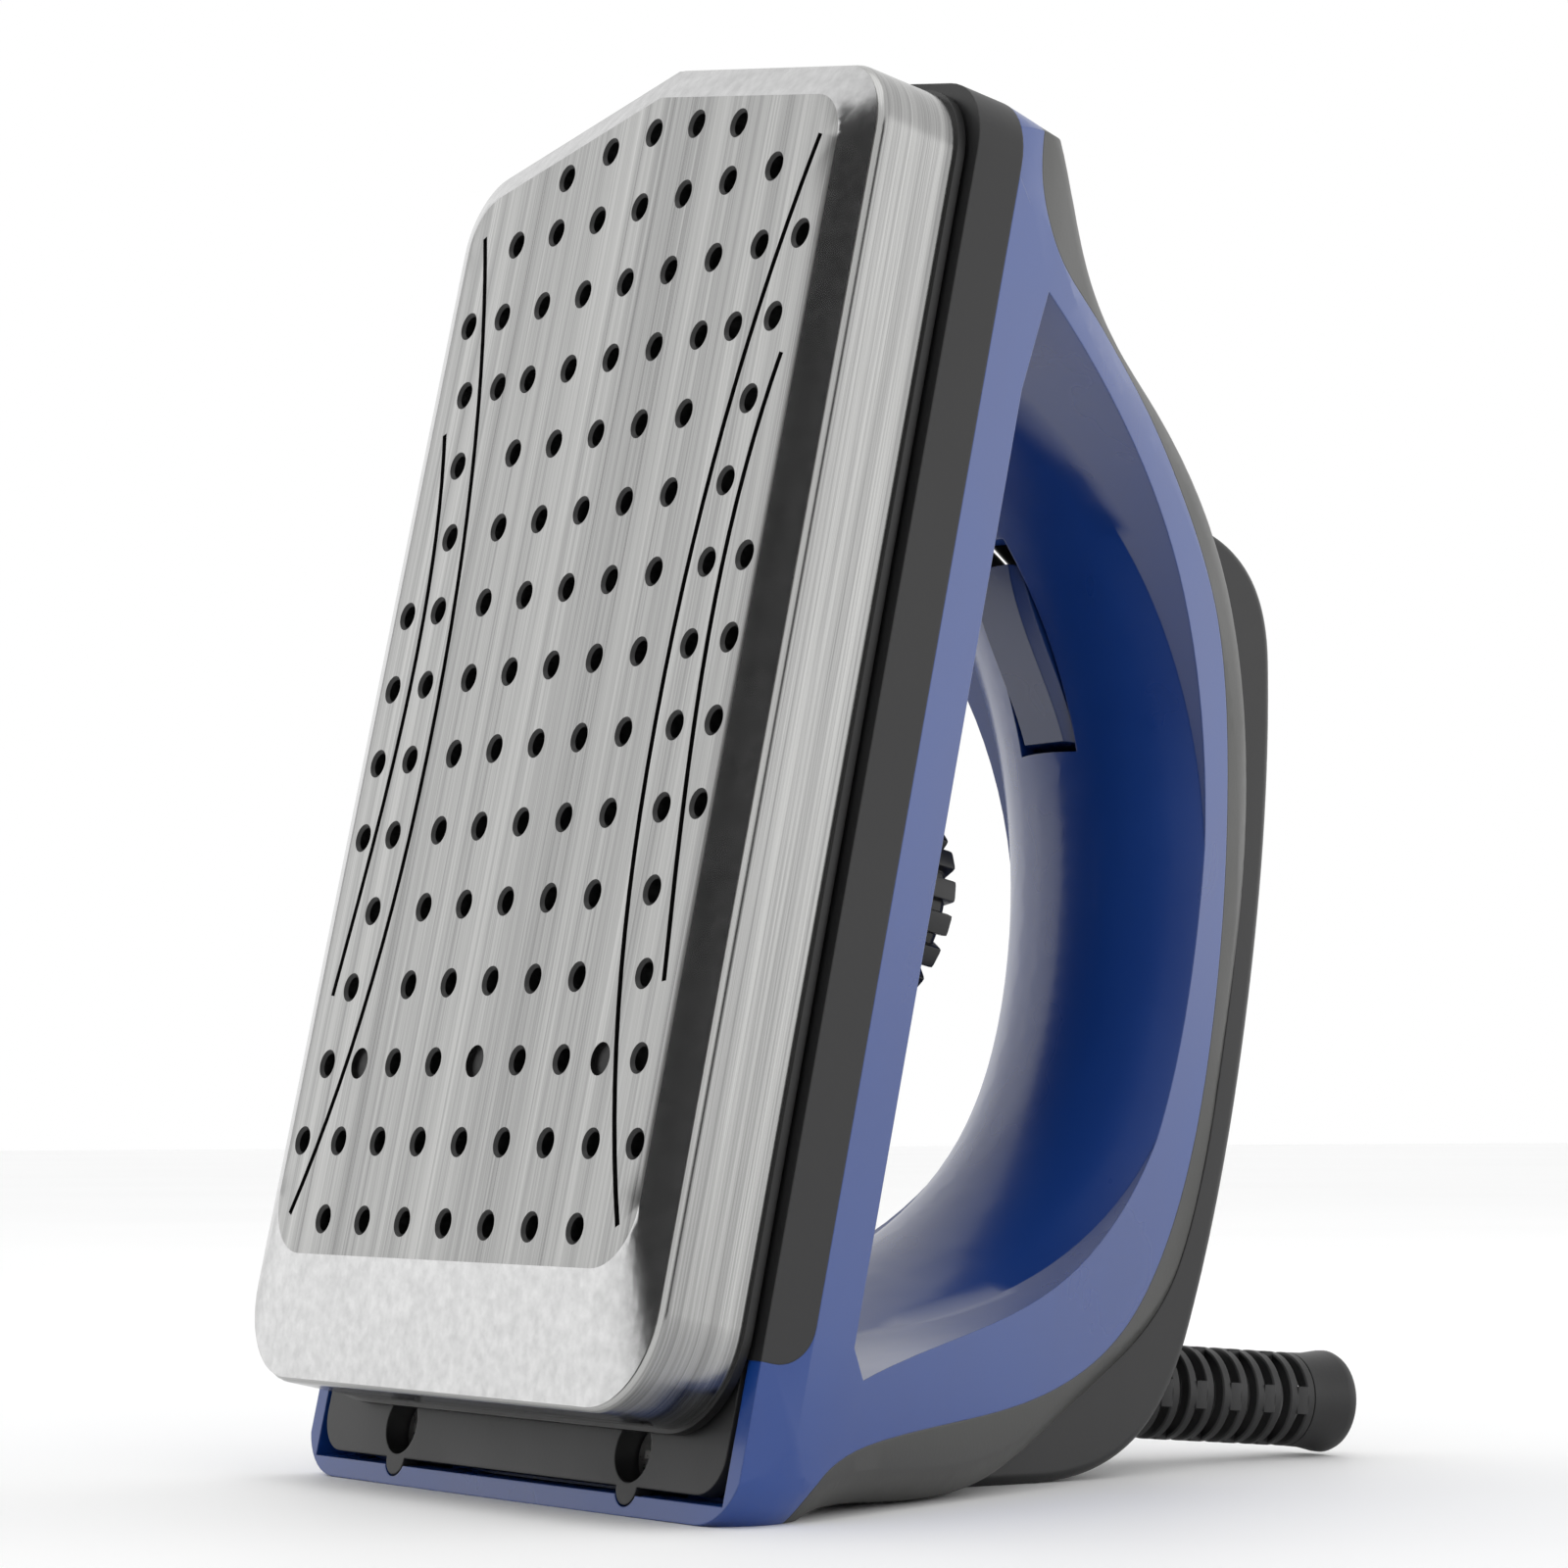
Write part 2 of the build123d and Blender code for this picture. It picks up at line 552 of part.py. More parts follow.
def body_shell():
    """Blue moulding: base, deck and handle loop in one."""
    solid = (body_form() & blue_zone()) - opening() - cavity()
    solid -= [skirt_zone(), slab(heel_plan(GAP), 0, BODY_Z)]
    solid -= [rod(HEEL_PLATE_END, y, SCALLOP_R + GAP, 0, SKIRT_Z + WEB_T + GAP) for x, y in HEEL_SCREWS]
    solid += heel_bosses()
    for x, y in HEEL_SCREWS:
        solid -= [rod(x, y, HEEL_WELL_R + HEEL_WELL_WALL + GAP, 0, HEEL_WELL_TOP + GAP),
                  rod(x, y, HEEL_SCREW_R + SHAFT_FIT, 0, 43.5)]
    low, high = TRIGGER_SLOT
    solid -= Pos((low + high) / 2, 0, 84) * Box(high - low, 2 * (TRIGGER_HALF + 0.6), 34)
    x, z = TRIGGER_PIVOT
    for side in (-1, 1):
        boss = Pos(x, side * (TRIGGER_HALF + BOSS_T / 2 + 1.1), z - 4.5) * Box(7.0, BOSS_T, 16.0)
        solid += boss - opening(1.0)
    solid -= Pos(x, 0, z) * Rot(90, 0, 0) * Cylinder(PIN_R + SHAFT_FIT, 2 * PIN_HALF)
    return solid - rod(DIAL_X, 0, 9.0, DECK_Z - WALL - 1, DECK_Z + 1)


def rear_side():
    """Side outline of the rear housing; its inner edge runs inside the handle's back."""
    low, turn = 72.0, 98.0
    top = (REAR_TOP + 5.0, 106.0)
    foot = (floor_x(low), low)
    edge = [
        Line(foot, (floor_x(turn), turn)),
        Spline((floor_x(turn), turn), (-10.5, 115.5), (8.0, 124.0),
               tangents=[(floor_x(10) - floor_x(0), 10), (14.0, 2.6)]),
        Spline((8.0, 124.0), (60.0, REAR_Z), (118.0, 124.6), tangents=[(14.0, 2.6), (14.0, -2.4)]),
        Spline((118.0, 124.6), (REAR_TOP + 1.5, 117.0), top, tangents=[(14.0, -2.4), (0.4, -10.0)]),
        Polyline(top, (REAR_TOP - 1.0, 97.0), (100.0, 112.0), (60.0, 119.0), (20.0, 114.0), (-4.0, 98.0),
                 (-14.0, 80.0), (foot[0] + 6.0, low), foot),
    ]
    return make_face(edge)


def rear_plan(inset=0.0):
    """Plan of the rear housing, wide at the foot and narrow at the top."""
    low, high = -45.0, REAR_TOP + 5.0
    face = make_face(Polyline((low, -REAR_HALF_LOW + inset), (high, -REAR_HALF_HIGH + inset),
                              (high, REAR_HALF_HIGH - inset), (low, REAR_HALF_LOW - inset), close=True))
    return slab(face, 40, 140)


GUARD_ROOT = (-3.5, 108.0)         # where the guard's flange sits inside the housing
GUARD_FLANGE_R = 9.2
GUARD_FLANGE_T = 2.0


def guard_axis():
    """Where the cord guard sits: its root, and the way it points."""
    lean, (x, z) = radians(GUARD_TILT), GUARD_ROOT
    return Plane(origin=(x, 0, z), x_dir=(cos(lean), 0, -sin(lean)), z_dir=(sin(lean), 0, cos(lean)))


def handle_cover():
    """Grey cover that closes the handle loop from nose to heel."""
    solid = body_form() - blue_zone() - opening() - cavity()
    window = Pos(30, 0, 122) * Box(76, 14, 20)
    doors = Pos(-4.0, 0, 104) * Box(22, 28, 30)
    return solid - window - doors - housing_screw_holes() - heel_bosses()


HOUSING_SCREWS = ((84.0, 125.2), (118.0, 121.8))    # place and seat of each screw
CLAMP = (-3.8, 103.4, 2.6)          # place, bottom and thickness of the cord clamp
CLAMP_SCREWS = (-11.2, 11.2)
CLAMP_SCREW_R = 1.1
CLAMP_SCREW_TOP = 113.0


def housing_screw_holes(extra=0.0):
    """Holes for the two screws that hold the rear housing."""
    return [rod(x, 0, 1.5 + SHAFT_FIT + extra, 96, 140) for x, _ in HOUSING_SCREWS]


def rear_housing():
    """Black box on the handle's back: cord entry below, second foot of the standing iron."""
    block = side_slab(rear_side(), 60) & rear_plan()
    edges = block.edges().filter_by(
        lambda e: (e @ 0.5).Z > 95 and abs(abs((e @ 0.5).Y) - rear_half((e @ 0.5).X)) < 0.2)
    solid = fillet(edges, 1.6) - body_form()
    solid -= [rod(x, 0, 1.5 + SHAFT_FIT, 90, 140) for x, _ in HOUSING_SCREWS]
    solid -= [rod(x, 0, 3.2, seat, 140) for x, seat in HOUSING_SCREWS]
    x, low, thick = CLAMP
    solid -= Pos(x, 0, low) * Box(14.2, 2 * max(CLAMP_SCREWS) + 4.2, 2 * thick + 0.2)
    up = (Align.CENTER, Align.CENTER, Align.MIN)
    solid -= guard_axis() * Cylinder(GUARD_R + SHAFT_FIT, 40, align=up)
    solid -= guard_axis() * Pos(0, 0, -20) * Cylinder(GUARD_FLANGE_R + SHAFT_FIT, 20 + GUARD_FLANGE_T, align=up)
    return solid - [rod(CLAMP[0], y, CLAMP_SCREW_R + SHAFT_FIT, 90, CLAMP_SCREW_TOP) for y in CLAMP_SCREWS]


def rear_half(x):
    """Half width of the rear housing at x."""
    low, high = -45.0, REAR_TOP + 5.0
    return REAR_HALF_LOW + (x - low) / (high - low) * (REAR_HALF_HIGH - REAR_HALF_LOW)


def housing_screws():
    """Two screws in the rear housing's face."""
    return Compound([rod(x, 0, 1.5, seat - 16, seat) + (rod(x, 0, 2.9, seat, seat + 1.8)
                     - Pos(x, 0, seat + 1.8) * (Box(4, 0.8, 1.6) + Box(0.8, 4, 1.6))) for x, seat in HOUSING_SCREWS])


# ---------------------------------------------------------------- cord guard
GUARD_SLOT = 1.8
GUARD_SLOT_STEP = 3.55
GUARD_SLOTS = 10


def cord_guard():
    """Slotted guard with a trumpet end; slots alternate between the sides and top and bottom."""
    up = (Align.CENTER, Align.CENTER, Align.MIN)
    tube = Cylinder(GUARD_R, GUARD_LENGTH, align=up) - Cylinder(GUARD_BORE_R, GUARD_LENGTH, align=up)
    flare_h = 7.0
    outline = [Line((GUARD_BORE_R, GUARD_LENGTH), (GUARD_R, GUARD_LENGTH)),
               Spline((GUARD_R, GUARD_LENGTH), (GUARD_FLARE_R, GUARD_LENGTH + flare_h), tangents=[(0, 1), (0.6, 1)]),
               ThreePointArc((GUARD_FLARE_R, GUARD_LENGTH + flare_h), (GUARD_FLARE_R - 0.6, GUARD_LENGTH + flare_h + 1.3),
                             (GUARD_BORE_R + 1.4, GUARD_LENGTH + flare_h + 1.2)),
               Line((GUARD_BORE_R + 1.4, GUARD_LENGTH + flare_h + 1.2), (GUARD_BORE_R, GUARD_LENGTH))]
    solid = tube + revolve(Plane.XZ * make_face(outline), Axis.Z)
    solid += Cylinder(GUARD_FLANGE_R, GUARD_FLANGE_T, align=up) - Cylinder(GUARD_BORE_R, GUARD_FLANGE_T, align=up)
    rib = 2.2
    for index in range(GUARD_SLOTS):
        high = GUARD_LENGTH - 1.2 - index * GUARD_SLOT_STEP
        for side in (-1, 1):
            spot = (0, side * (rib + 6), high) if index % 2 == 0 else (side * (rib + 6), 0, high)
            size = (30, 12, GUARD_SLOT) if index % 2 == 0 else (12, 30, GUARD_SLOT)
            solid -= Pos(*spot) * Box(*size)
    return guard_axis() * solid


# ---------------------------------------------------------------- deck
POD = (16.0, 112.0)


def pod_block(inset=0.0, high=POD_TOP):
    """Raised panel with rounded ends and leaning sides."""
    length, half = POD[1] - POD[0] - 2 * inset, POD_HALF - inset
    face = Pos(sum(POD) / 2, 0, DECK_Z) * SlotOverall(length, 2 * half)
    return extrude(face, high - DECK_Z, taper=12)


def control_panel():
    """Raised control panel on the deck."""
    solid = pod_block()
    solid = fillet(solid.edges().group_by(Axis.Z)[-1], 2.5)
    solid -= pod_block(2.4, POD_TOP - 2.4)
    solid -= rod(DIAL_X, 0, SHAFT_R + 0.6, DECK_Z, POD_TOP + 1)
    return solid - rod(LENS_X, 0, LENS_R + SHAFT_FIT, DECK_Z, POD_TOP + 1)


LENS_X = 96.0
LENS_R = 3.0


def pilot_lens():
    """Domed lens of the heating lamp."""
    stem = rod(LENS_X, 0, LENS_R, POD_TOP - 2.4, POD_TOP + 0.2)
    dome = Pos(LENS_X, 0, POD_TOP + 0.2) * Sphere(LENS_R) & rod(LENS_X, 0, 10, POD_TOP + 0.2, POD_TOP + 20)
    return stem + dome


def pilot_lamp():
    """Lamp under the lens."""
    return rod(LENS_X, 0, 2.5, POD_TOP - 11, POD_TOP - 2.7)


DIAL_LOW = POD_TOP + 0.6


def dial():
    """Temperature dial with castellated edge."""
    solid = rod(DIAL_X, 0, DIAL_R, DIAL_LOW, DIAL_TOP)
    solid = chamfer(solid.edges().group_by(Axis.Z)[-1], 1.6)
    notch_w, notch_d = 2.0, 1.3
    for index in range(DIAL_LOBES):
        turn = Rot(0, 0, 360.0 / DIAL_LOBES * index)
        solid -= (Pos(DIAL_X, 0, 0) * turn * Pos(DIAL_R, 0, DIAL_TOP)
                  * Box(2 * notch_d, notch_w, 2 * (DIAL_TOP - DIAL_LOW - 3)))
    solid -= Pos(DIAL_X + DIAL_R - 6.5, 0, DIAL_TOP) * Box(6.0, 1.2, 1.2)
    return solid - rod(DIAL_X, 0, SHAFT_R + SHAFT_FIT, DIAL_LOW, SHAFT_TOP + SHAFT_FIT)


def dial_mark():
    """White pointer let into the dial's top."""
    return Pos(DIAL_X + DIAL_R - 6.5, 0, DIAL_TOP - 0.3) * Box(5.9, 1.1, 0.6)


SHAFT_TOP = 63.0
THERMOSTAT = (11.5, 15.0, 25.0)    # radius, bottom and top of the thermostat


def thermostat_bracket():
    """Strap that presses the thermostat on the chamber lid."""
    top = THERMOSTAT[1]
    return Pos(DIAL_X, 0, LID_Z) * Box(40, 16, top - LID_Z, align=(Align.CENTER, Align.CENTER, Align.MIN))


def thermostat_body():
    """Bimetal thermostat on the chamber lid."""
    radius, low, high = THERMOSTAT
    solid = rod(DIAL_X, 0, radius, low, high) + rod(DIAL_X, 0, 5.0, high, high + 4)
    return solid - rod(DIAL_X, 0, SHAFT_R + SHAFT_FIT, high - 4, high + 4)


def thermostat_shaft():
    """Shaft from the dial down to the thermostat."""
    return rod(DIAL_X, 0, SHAFT_R, THERMOSTAT[2] - 3.9, SHAFT_TOP)


def thermal_fuse():
    """One-shot fuse clipped on the chamber lid."""
    return rod(FUSE_X, 0, 6.0, LID_Z, LID_Z + 7) + Pos(FUSE_X, 0, LID_Z + 9) * Box(1, 12, 5)


def steam_inlet():
    """Nipple that lets the steam into the chamber."""
    x, y = INLET
    solid = rod(x, y, INLET_R, 9.0, 22.0) + rod(x, y, 6.0, LID_Z, LID_Z + 1.4)
    return solid - rod(x, y, 2.0, 8.0, 23.0)


HOSE_R = 3.6


def steam_hose():
    """Silicone hose from the cord guard down the heel column to the inlet."""
    route = FilletPolyline((32, 0, 22.1), (32, 0, 28.5), (-21.5, 0, 28.5), (-13.5, 0, 66.0), (-3.4, 0, 92.0),
                           (-3.6, 0, 107.5), radius=5.5)
    section = Plane(origin=(32, 0, 22.1), z_dir=(0, 0, 1)) * (Circle(HOSE_R) - Circle(2.0))
    return sweep(section, path=route)


WIRE_R = 1.3


def mains_wires():
    """The two wires from the element's tabs to the terminal block."""
    wires = []
    for side in (-1, 1):
        route = FilletPolyline((ELEMENT_HEEL - 3.8, side * ELEMENT_HALF, 27.0), (-17.0, side * 24.0, 27.0),
                               (-20.5, side * 6.6, 30.5), (-13.5, side * 6.6, 66.0), (-0.5, side * 6.6, 92.0),
                               (10.0, side * 6.0, 103.7), radius=3.0)
        start = Plane(origin=route @ 0, z_dir=route % 0)
        wires.append(sweep(start * Circle(WIRE_R), path=route))
    return Compound(wires)


def cord_clamp():
    """Strap that grips the cord just inside the housing."""
    x, low, thick = CLAMP
    solid = Pos(x, 0, low + thick / 2) * Box(13, 2 * max(CLAMP_SCREWS) + 3.4, thick)
    solid -= rod(x, 0, HOSE_R + 0.6, low - 1, low + thick + 1)
    return solid - [rod(x, y, CLAMP_SCREW_R + SHAFT_FIT, low - 1, low + thick + 1) for y in CLAMP_SCREWS]


def clamp_screws():
    """Two screws that draw the clamp up against the housing."""
    x, low, _ = CLAMP
    return Compound([rod(x, y, CLAMP_SCREW_R, low, CLAMP_SCREW_TOP - 0.5) + rod(x, y, 1.9, low - 1.4, low)
                     for y in CLAMP_SCREWS])


def terminal_block():
    """Terminal block at the top of the heel column."""
    solid = Pos(16, 0, 109) * Box(18, 20, 8)
    return solid - [rod(x, y, 1.2, 110, 114) for x in (12, 20) for y in (-6, 6)]


# ---------------------------------------------------------------- steam trigger
SWITCH = (105.5, 119.5, 96.5, 104.0)    # microswitch: heel end, tip end, underside and top
SWITCH_HALF = 3.2
PLUNGER_R = 1.2
PLUNGER_X = 115.0
PLUNGER_FOOT = 94.0
PLUNGER_TOP = 99.4
SPRING_X = 109.5
SPRING_SEAT = 87.0
SPRING_R = 2.0
SPRING_WIRE_R = 0.35


def trigger_side():
    """Side outline of the trigger."""
    x, z = TRIGGER_PIVOT
    top = PLUNGER_FOOT - GAP
    pad = Spline((x - 2.5, z - 5.5), (x + 8.0, z - 13.0), (x + 17.0, z - 19.5), (x + 22.0, z - 22.0))
    return make_face([pad, Polyline(pad @ 1, (x + 22.0, z - 14.0), (x + 19.0, top), (x + 6.0, top), (x + 2.5, z + 2.5),
                                    (x - 2.5, z + 2.5), (x - 2.5, z - 5.5))])


def steam_trigger():
    """Finger trigger under the front of the grip, with a pocket for its spring."""
    solid = side_slab(trigger_side(), TRIGGER_HALF)
    edges = solid.edges().filter_by(lambda e: (e @ 0.5).Z < TRIGGER_PIVOT[1] - 8
                                    and abs((e @ 0.5).Y) > TRIGGER_HALF - 0.1
                                    and (e @ 0.5).X < TRIGGER_PIVOT[0] + 21.5)
    solid = chamfer(edges, 1.5)
    x, z = TRIGGER_PIVOT
    solid -= Pos(x, 0, z) * Rot(90, 0, 0) * Cylinder(PIN_R + SHAFT_FIT, 60)
    return solid - rod(SPRING_X, 0, SPRING_R + 0.9, SPRING_SEAT, 110)


def trigger_pin():
    """Pin that the trigger turns on."""
    x, z = TRIGGER_PIVOT
    return Pos(x, 0, z) * Rot(90, 0, 0) * Cylinder(PIN_R, 2 * PIN_HALF - 0.2)


def trigger_spring():
    """Coil spring that returns the trigger."""
    turns, high = 5, SWITCH[2] - SPRING_SEAT - 2 * SPRING_WIRE_R - 0.2
    path = Helix(pitch=high / turns, height=high, radius=SPRING_R)
    wire = sweep(Plane(origin=path @ 0, z_dir=path % 0) * Circle(SPRING_WIRE_R), path=path)
    return Pos(SPRING_X, 0, SPRING_SEAT + SPRING_WIRE_R + 0.1) * wire


def microswitch():
    """Switch that opens the steam valve in the station."""
    heel, tip, low, high = SWITCH
    solid = Pos((heel + tip) / 2, 0, (low + high) / 2) * Box(tip - heel, 2 * SWITCH_HALF, high - low)
    return solid - rod(PLUNGER_X, 0, PLUNGER_R + SHAFT_FIT, low - 1, PLUNGER_TOP + 2.2)


def switch_plunger():
    """The switch's plunger, pushed in by the trigger."""
    return rod(PLUNGER_X, 0, PLUNGER_R, PLUNGER_FOOT, PLUNGER_TOP)


# ---------------------------------------------------------------- assembly
BUILDERS = [sole_plate, sole_screws, sole_casting, heating_element, element_terminals, chamber_gasket, chamber_lid,
            lid_screws, heat_shield, base_frame, frame_screws, heel_screws, body_shell, handle_cover, rear_housing,
            housing_screws, control_panel, pilot_lens, pilot_lamp, dial, dial_mark, thermostat_bracket,
            thermostat_body, thermostat_shaft, thermal_fuse, steam_inlet, steam_hose, mains_wires, terminal_block,
            steam_trigger, trigger_pin, trigger_spring, microswitch, switch_plunger, cord_clamp, clamp_screws,
            cord_guard]


def standing_plane(origin=(0, 0, 0)):
    """The ironing frame tipped back onto the heel, with its origin at the given row point."""
    lean = radians(LEAN)
    return Plane(origin=origin, x_dir=(0, sin(lean), cos(lean)), z_dir=(0, cos(lean), -sin(lean)))


def stand_up(pieces):
    """Stand the pieces on the floor, centred over the row's origin; returns them and the plane used."""
    tipped = [standing_plane().location * piece for piece in pieces]
    box = Compound(tipped).bounding_box()
    plane = standing_plane((-(box.min.X + box.max.X) / 2, -(box.min.Y + box.max.Y) / 2, -box.min.Z))
    return [plane.location * piece for piece in pieces], plane


names = [builder.__name__ for builder in BUILDERS]
placed, stand = stand_up([builder() for builder in BUILDERS])
for name, solid in zip(names, placed):
    export_step(solid, f"parts/{name}.step")
print("row origin of the ironing frame:", [round(value, 4) for value in stand.origin])
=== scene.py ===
"""Looks of the steam-station clothes iron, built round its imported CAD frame.

The iron stands on its heel.  Pieces are drawn in an ironing frame (x heel to tip, y across, z from the
sole's face into the body) and carried into the row frame by one matrix, so no object is ever moved.
"""
import json
import logging
import math
from dataclasses import dataclass, field
from enum import Enum

import bmesh
import bpy
from mathutils import Matrix, Vector


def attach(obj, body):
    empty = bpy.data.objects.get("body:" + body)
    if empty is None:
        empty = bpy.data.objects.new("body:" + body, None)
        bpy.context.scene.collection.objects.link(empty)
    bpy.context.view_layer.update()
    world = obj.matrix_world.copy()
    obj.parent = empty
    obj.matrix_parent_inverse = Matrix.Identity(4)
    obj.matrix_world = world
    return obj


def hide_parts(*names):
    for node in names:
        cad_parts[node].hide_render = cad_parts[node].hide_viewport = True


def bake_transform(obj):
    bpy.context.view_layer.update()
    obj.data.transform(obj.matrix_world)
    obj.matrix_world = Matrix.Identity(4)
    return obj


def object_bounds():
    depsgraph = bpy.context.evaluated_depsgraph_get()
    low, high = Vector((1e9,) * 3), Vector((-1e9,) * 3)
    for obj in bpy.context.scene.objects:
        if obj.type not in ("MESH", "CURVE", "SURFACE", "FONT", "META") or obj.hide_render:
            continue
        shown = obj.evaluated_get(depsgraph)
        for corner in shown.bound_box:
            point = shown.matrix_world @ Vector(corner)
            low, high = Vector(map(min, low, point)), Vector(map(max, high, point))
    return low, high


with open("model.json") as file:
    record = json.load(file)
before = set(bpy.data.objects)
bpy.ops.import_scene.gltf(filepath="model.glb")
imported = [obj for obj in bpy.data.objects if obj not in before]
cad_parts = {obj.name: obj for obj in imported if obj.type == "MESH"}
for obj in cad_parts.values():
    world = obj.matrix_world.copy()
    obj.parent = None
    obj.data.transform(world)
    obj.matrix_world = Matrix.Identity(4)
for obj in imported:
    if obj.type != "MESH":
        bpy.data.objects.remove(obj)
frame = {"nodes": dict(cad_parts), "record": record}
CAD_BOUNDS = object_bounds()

LOG = logging.getLogger("iron")
MM = 0.001
LEAN = math.radians(12.32)              # how far the sole leans back from upright
PITCH = 12.0 * MM                       # spacing of the steam holes
SOLE_SPOT = Vector((6.5 * PITCH, 0.5 * PITCH, 0.0))   # the sole mount, in the ironing frame
FULL_TURN = 2 * math.pi


def ironing_to_row() -> Matrix:
    """Works out the matrix that carries the ironing frame into the row frame.

    Returns:
        A rigid matrix whose origin comes from the record's sole mount.
    """
    along = Vector((0.0, math.sin(LEAN), math.cos(LEAN)))
    across = Vector((1.0, 0.0, 0.0))
    inward = Vector((0.0, math.cos(LEAN), -math.sin(LEAN)))
    turn = Matrix((along, across, inward)).transposed()
    mounts = {mount["name"]: mount for mount in frame["record"]["mounts"]}
    origin = Vector(mounts["sole_face"]["pos_m"]) - turn @ SOLE_SPOT
    return Matrix.Translation(origin) @ turn.to_4x4()


STAND = ironing_to_row()


# ------------------------------------------------------------------------------------- finishes
class Grain(Enum):
    """Which way the brush marks of a steel surface run."""

    LENGTHWISE = "lengthwise"
    ROUND_THE_EDGE = "round the edge"


@dataclass(frozen=True)
class Moulding:
    """A moulded plastic or rubber finish."""

    name: str
    colour: tuple[float, float, float]
    shade: tuple[float, float, float]
    roughness: tuple[float, float]
    grain_size: float = 0.7 * MM
    grain_depth: float = 0.02 * MM
    coat: float = 0.0
    coat_roughness: float = 0.15
    rounding: float = 0.35 * MM


@dataclass(frozen=True)
class BrushedSteel:
    """A brushed steel finish with streaks one way."""

    name: str
    light: tuple[float, float, float]
    dark: tuple[float, float, float]
    roughness: tuple[float, float]
    grain: Grain
    streak_width: float = 0.35 * MM
    streak_length: float = 90.0 * MM
    depth: float = 0.004 * MM


@dataclass(frozen=True)
class PlainMetal:
    """A cast, turned or plated metal finish."""

    name: str
    colour: tuple[float, float, float]
    roughness: tuple[float, float]
    grain_size: float = 1.0 * MM
    grain_depth: float = 0.01 * MM


@dataclass(frozen=True)
class Clear:
    """A tinted transparent finish."""

    name: str
    colour: tuple[float, float, float]
    roughness: float
    transmission: float


Finish = Moulding | BrushedSteel | PlainMetal | Clear

BLUE = Moulding("blue moulding", (0.007, 0.045, 0.225), (0.006, 0.038, 0.2), (0.26, 0.32), coat=0.2,
                grain_depth=0.003 * MM)
TRIGGER_BLUE = Moulding("trigger blue", (0.006, 0.026, 0.12), (0.005, 0.022, 0.1), (0.24, 0.3), coat=0.4,
                        grain_depth=0.003 * MM)
GREY = Moulding("grey moulding", (0.03, 0.03, 0.027), (0.023, 0.023, 0.021), (0.36, 0.46),
                grain_depth=0.012 * MM)
BLACK_SKIRT = Moulding("black skirt", (0.013, 0.013, 0.0135), (0.01, 0.01, 0.0105), (0.42, 0.5),
                       grain_depth=0.012 * MM)
BLACK_HOUSING = Moulding("black housing", (0.009, 0.009, 0.0095), (0.007, 0.007, 0.0075), (0.36, 0.46),
                         grain_depth=0.01 * MM)
BLACK_PANEL = Moulding("black panel", (0.012, 0.012, 0.013), (0.009, 0.009, 0.01), (0.16, 0.24), coat=0.4,
                       grain_depth=0.002 * MM)
BLACK_DIAL = Moulding("black dial", (0.008, 0.008, 0.0085), (0.006, 0.006, 0.0065), (0.3, 0.42),
                      grain_depth=0.008 * MM, rounding=0.25 * MM)
BLACK_RUBBER = Moulding("black rubber", (0.006, 0.006, 0.0065), (0.004, 0.004, 0.0045), (0.4, 0.55),
                        grain_depth=0.02 * MM, rounding=0.2 * MM)
SHIELD_PAINT = Moulding("shield paint", (0.005, 0.005, 0.005), (0.003, 0.003, 0.003), (0.28, 0.4),
                        grain_depth=0.004 * MM, rounding=0.15 * MM)
WHITE_MARK = Moulding("white mark", (0.8, 0.8, 0.79), (0.74, 0.74, 0.73), (0.3, 0.4))
BROWN_RESIN = Moulding("brown resin", (0.11, 0.045, 0.025), (0.08, 0.034, 0.02), (0.5, 0.62))
WHITE_RESIN = Moulding("white resin", (0.7, 0.69, 0.64), (0.6, 0.59, 0.55), (0.45, 0.6))
SILICONE = Moulding("silicone", (0.62, 0.58, 0.5), (0.52, 0.48, 0.42), (0.45, 0.6))
GASKET_RED = Moulding("red gasket", (0.3, 0.05, 0.03), (0.22, 0.04, 0.025), (0.6, 0.7))
SOLE_FACE = BrushedSteel("brushed sole face", (0.58, 0.58, 0.57), (0.15, 0.15, 0.15), (0.24, 0.42),
                         Grain.LENGTHWISE, depth=0.012 * MM)
SOLE_SIDE = BrushedSteel("brushed sole side", (0.56, 0.56, 0.55), (0.13, 0.13, 0.13), (0.16, 0.3),
                         Grain.ROUND_THE_EDGE, streak_width=0.3 * MM)
POLISHED_BEVEL = PlainMetal("polished bevel", (0.6, 0.6, 0.6), (0.2, 0.21), 2.0 * MM, 0.0)
# dark steel for the walls of the sole's holes and grooves: painted shade of those recesses
HOLE_SHADE_STEEL = PlainMetal("steel painted with hole shade", (0.05, 0.05, 0.05), (0.35, 0.5))
SCREW_STEEL = PlainMetal("screw steel", (0.48, 0.48, 0.47), (0.25, 0.4))
# black screws on the rear housing; on the sole the black is painted shade standing in for the shade in the
# screw recesses
SCREW_BLACK_AND_RECESS_SHADE = PlainMetal("black screw and painted recess shade", (0.03, 0.03, 0.03), (0.3, 0.45))
CAST = PlainMetal("cast aluminium", (0.62, 0.62, 0.63), (0.45, 0.65), grain_depth=0.06 * MM)
SHEET = PlainMetal("sheet steel", (0.55, 0.55, 0.54), (0.25, 0.4))
SHEATH = PlainMetal("element sheath", (0.2, 0.19, 0.18), (0.35, 0.5))
BRASS = PlainMetal("brass", (0.72, 0.52, 0.2), (0.22, 0.4))
AMBER = Clear("amber lens", (0.95, 0.3, 0.04), 0.12, 0.55)
LAMP = Clear("lamp glass", (0.95, 0.93, 0.88), 0.05, 0.9)


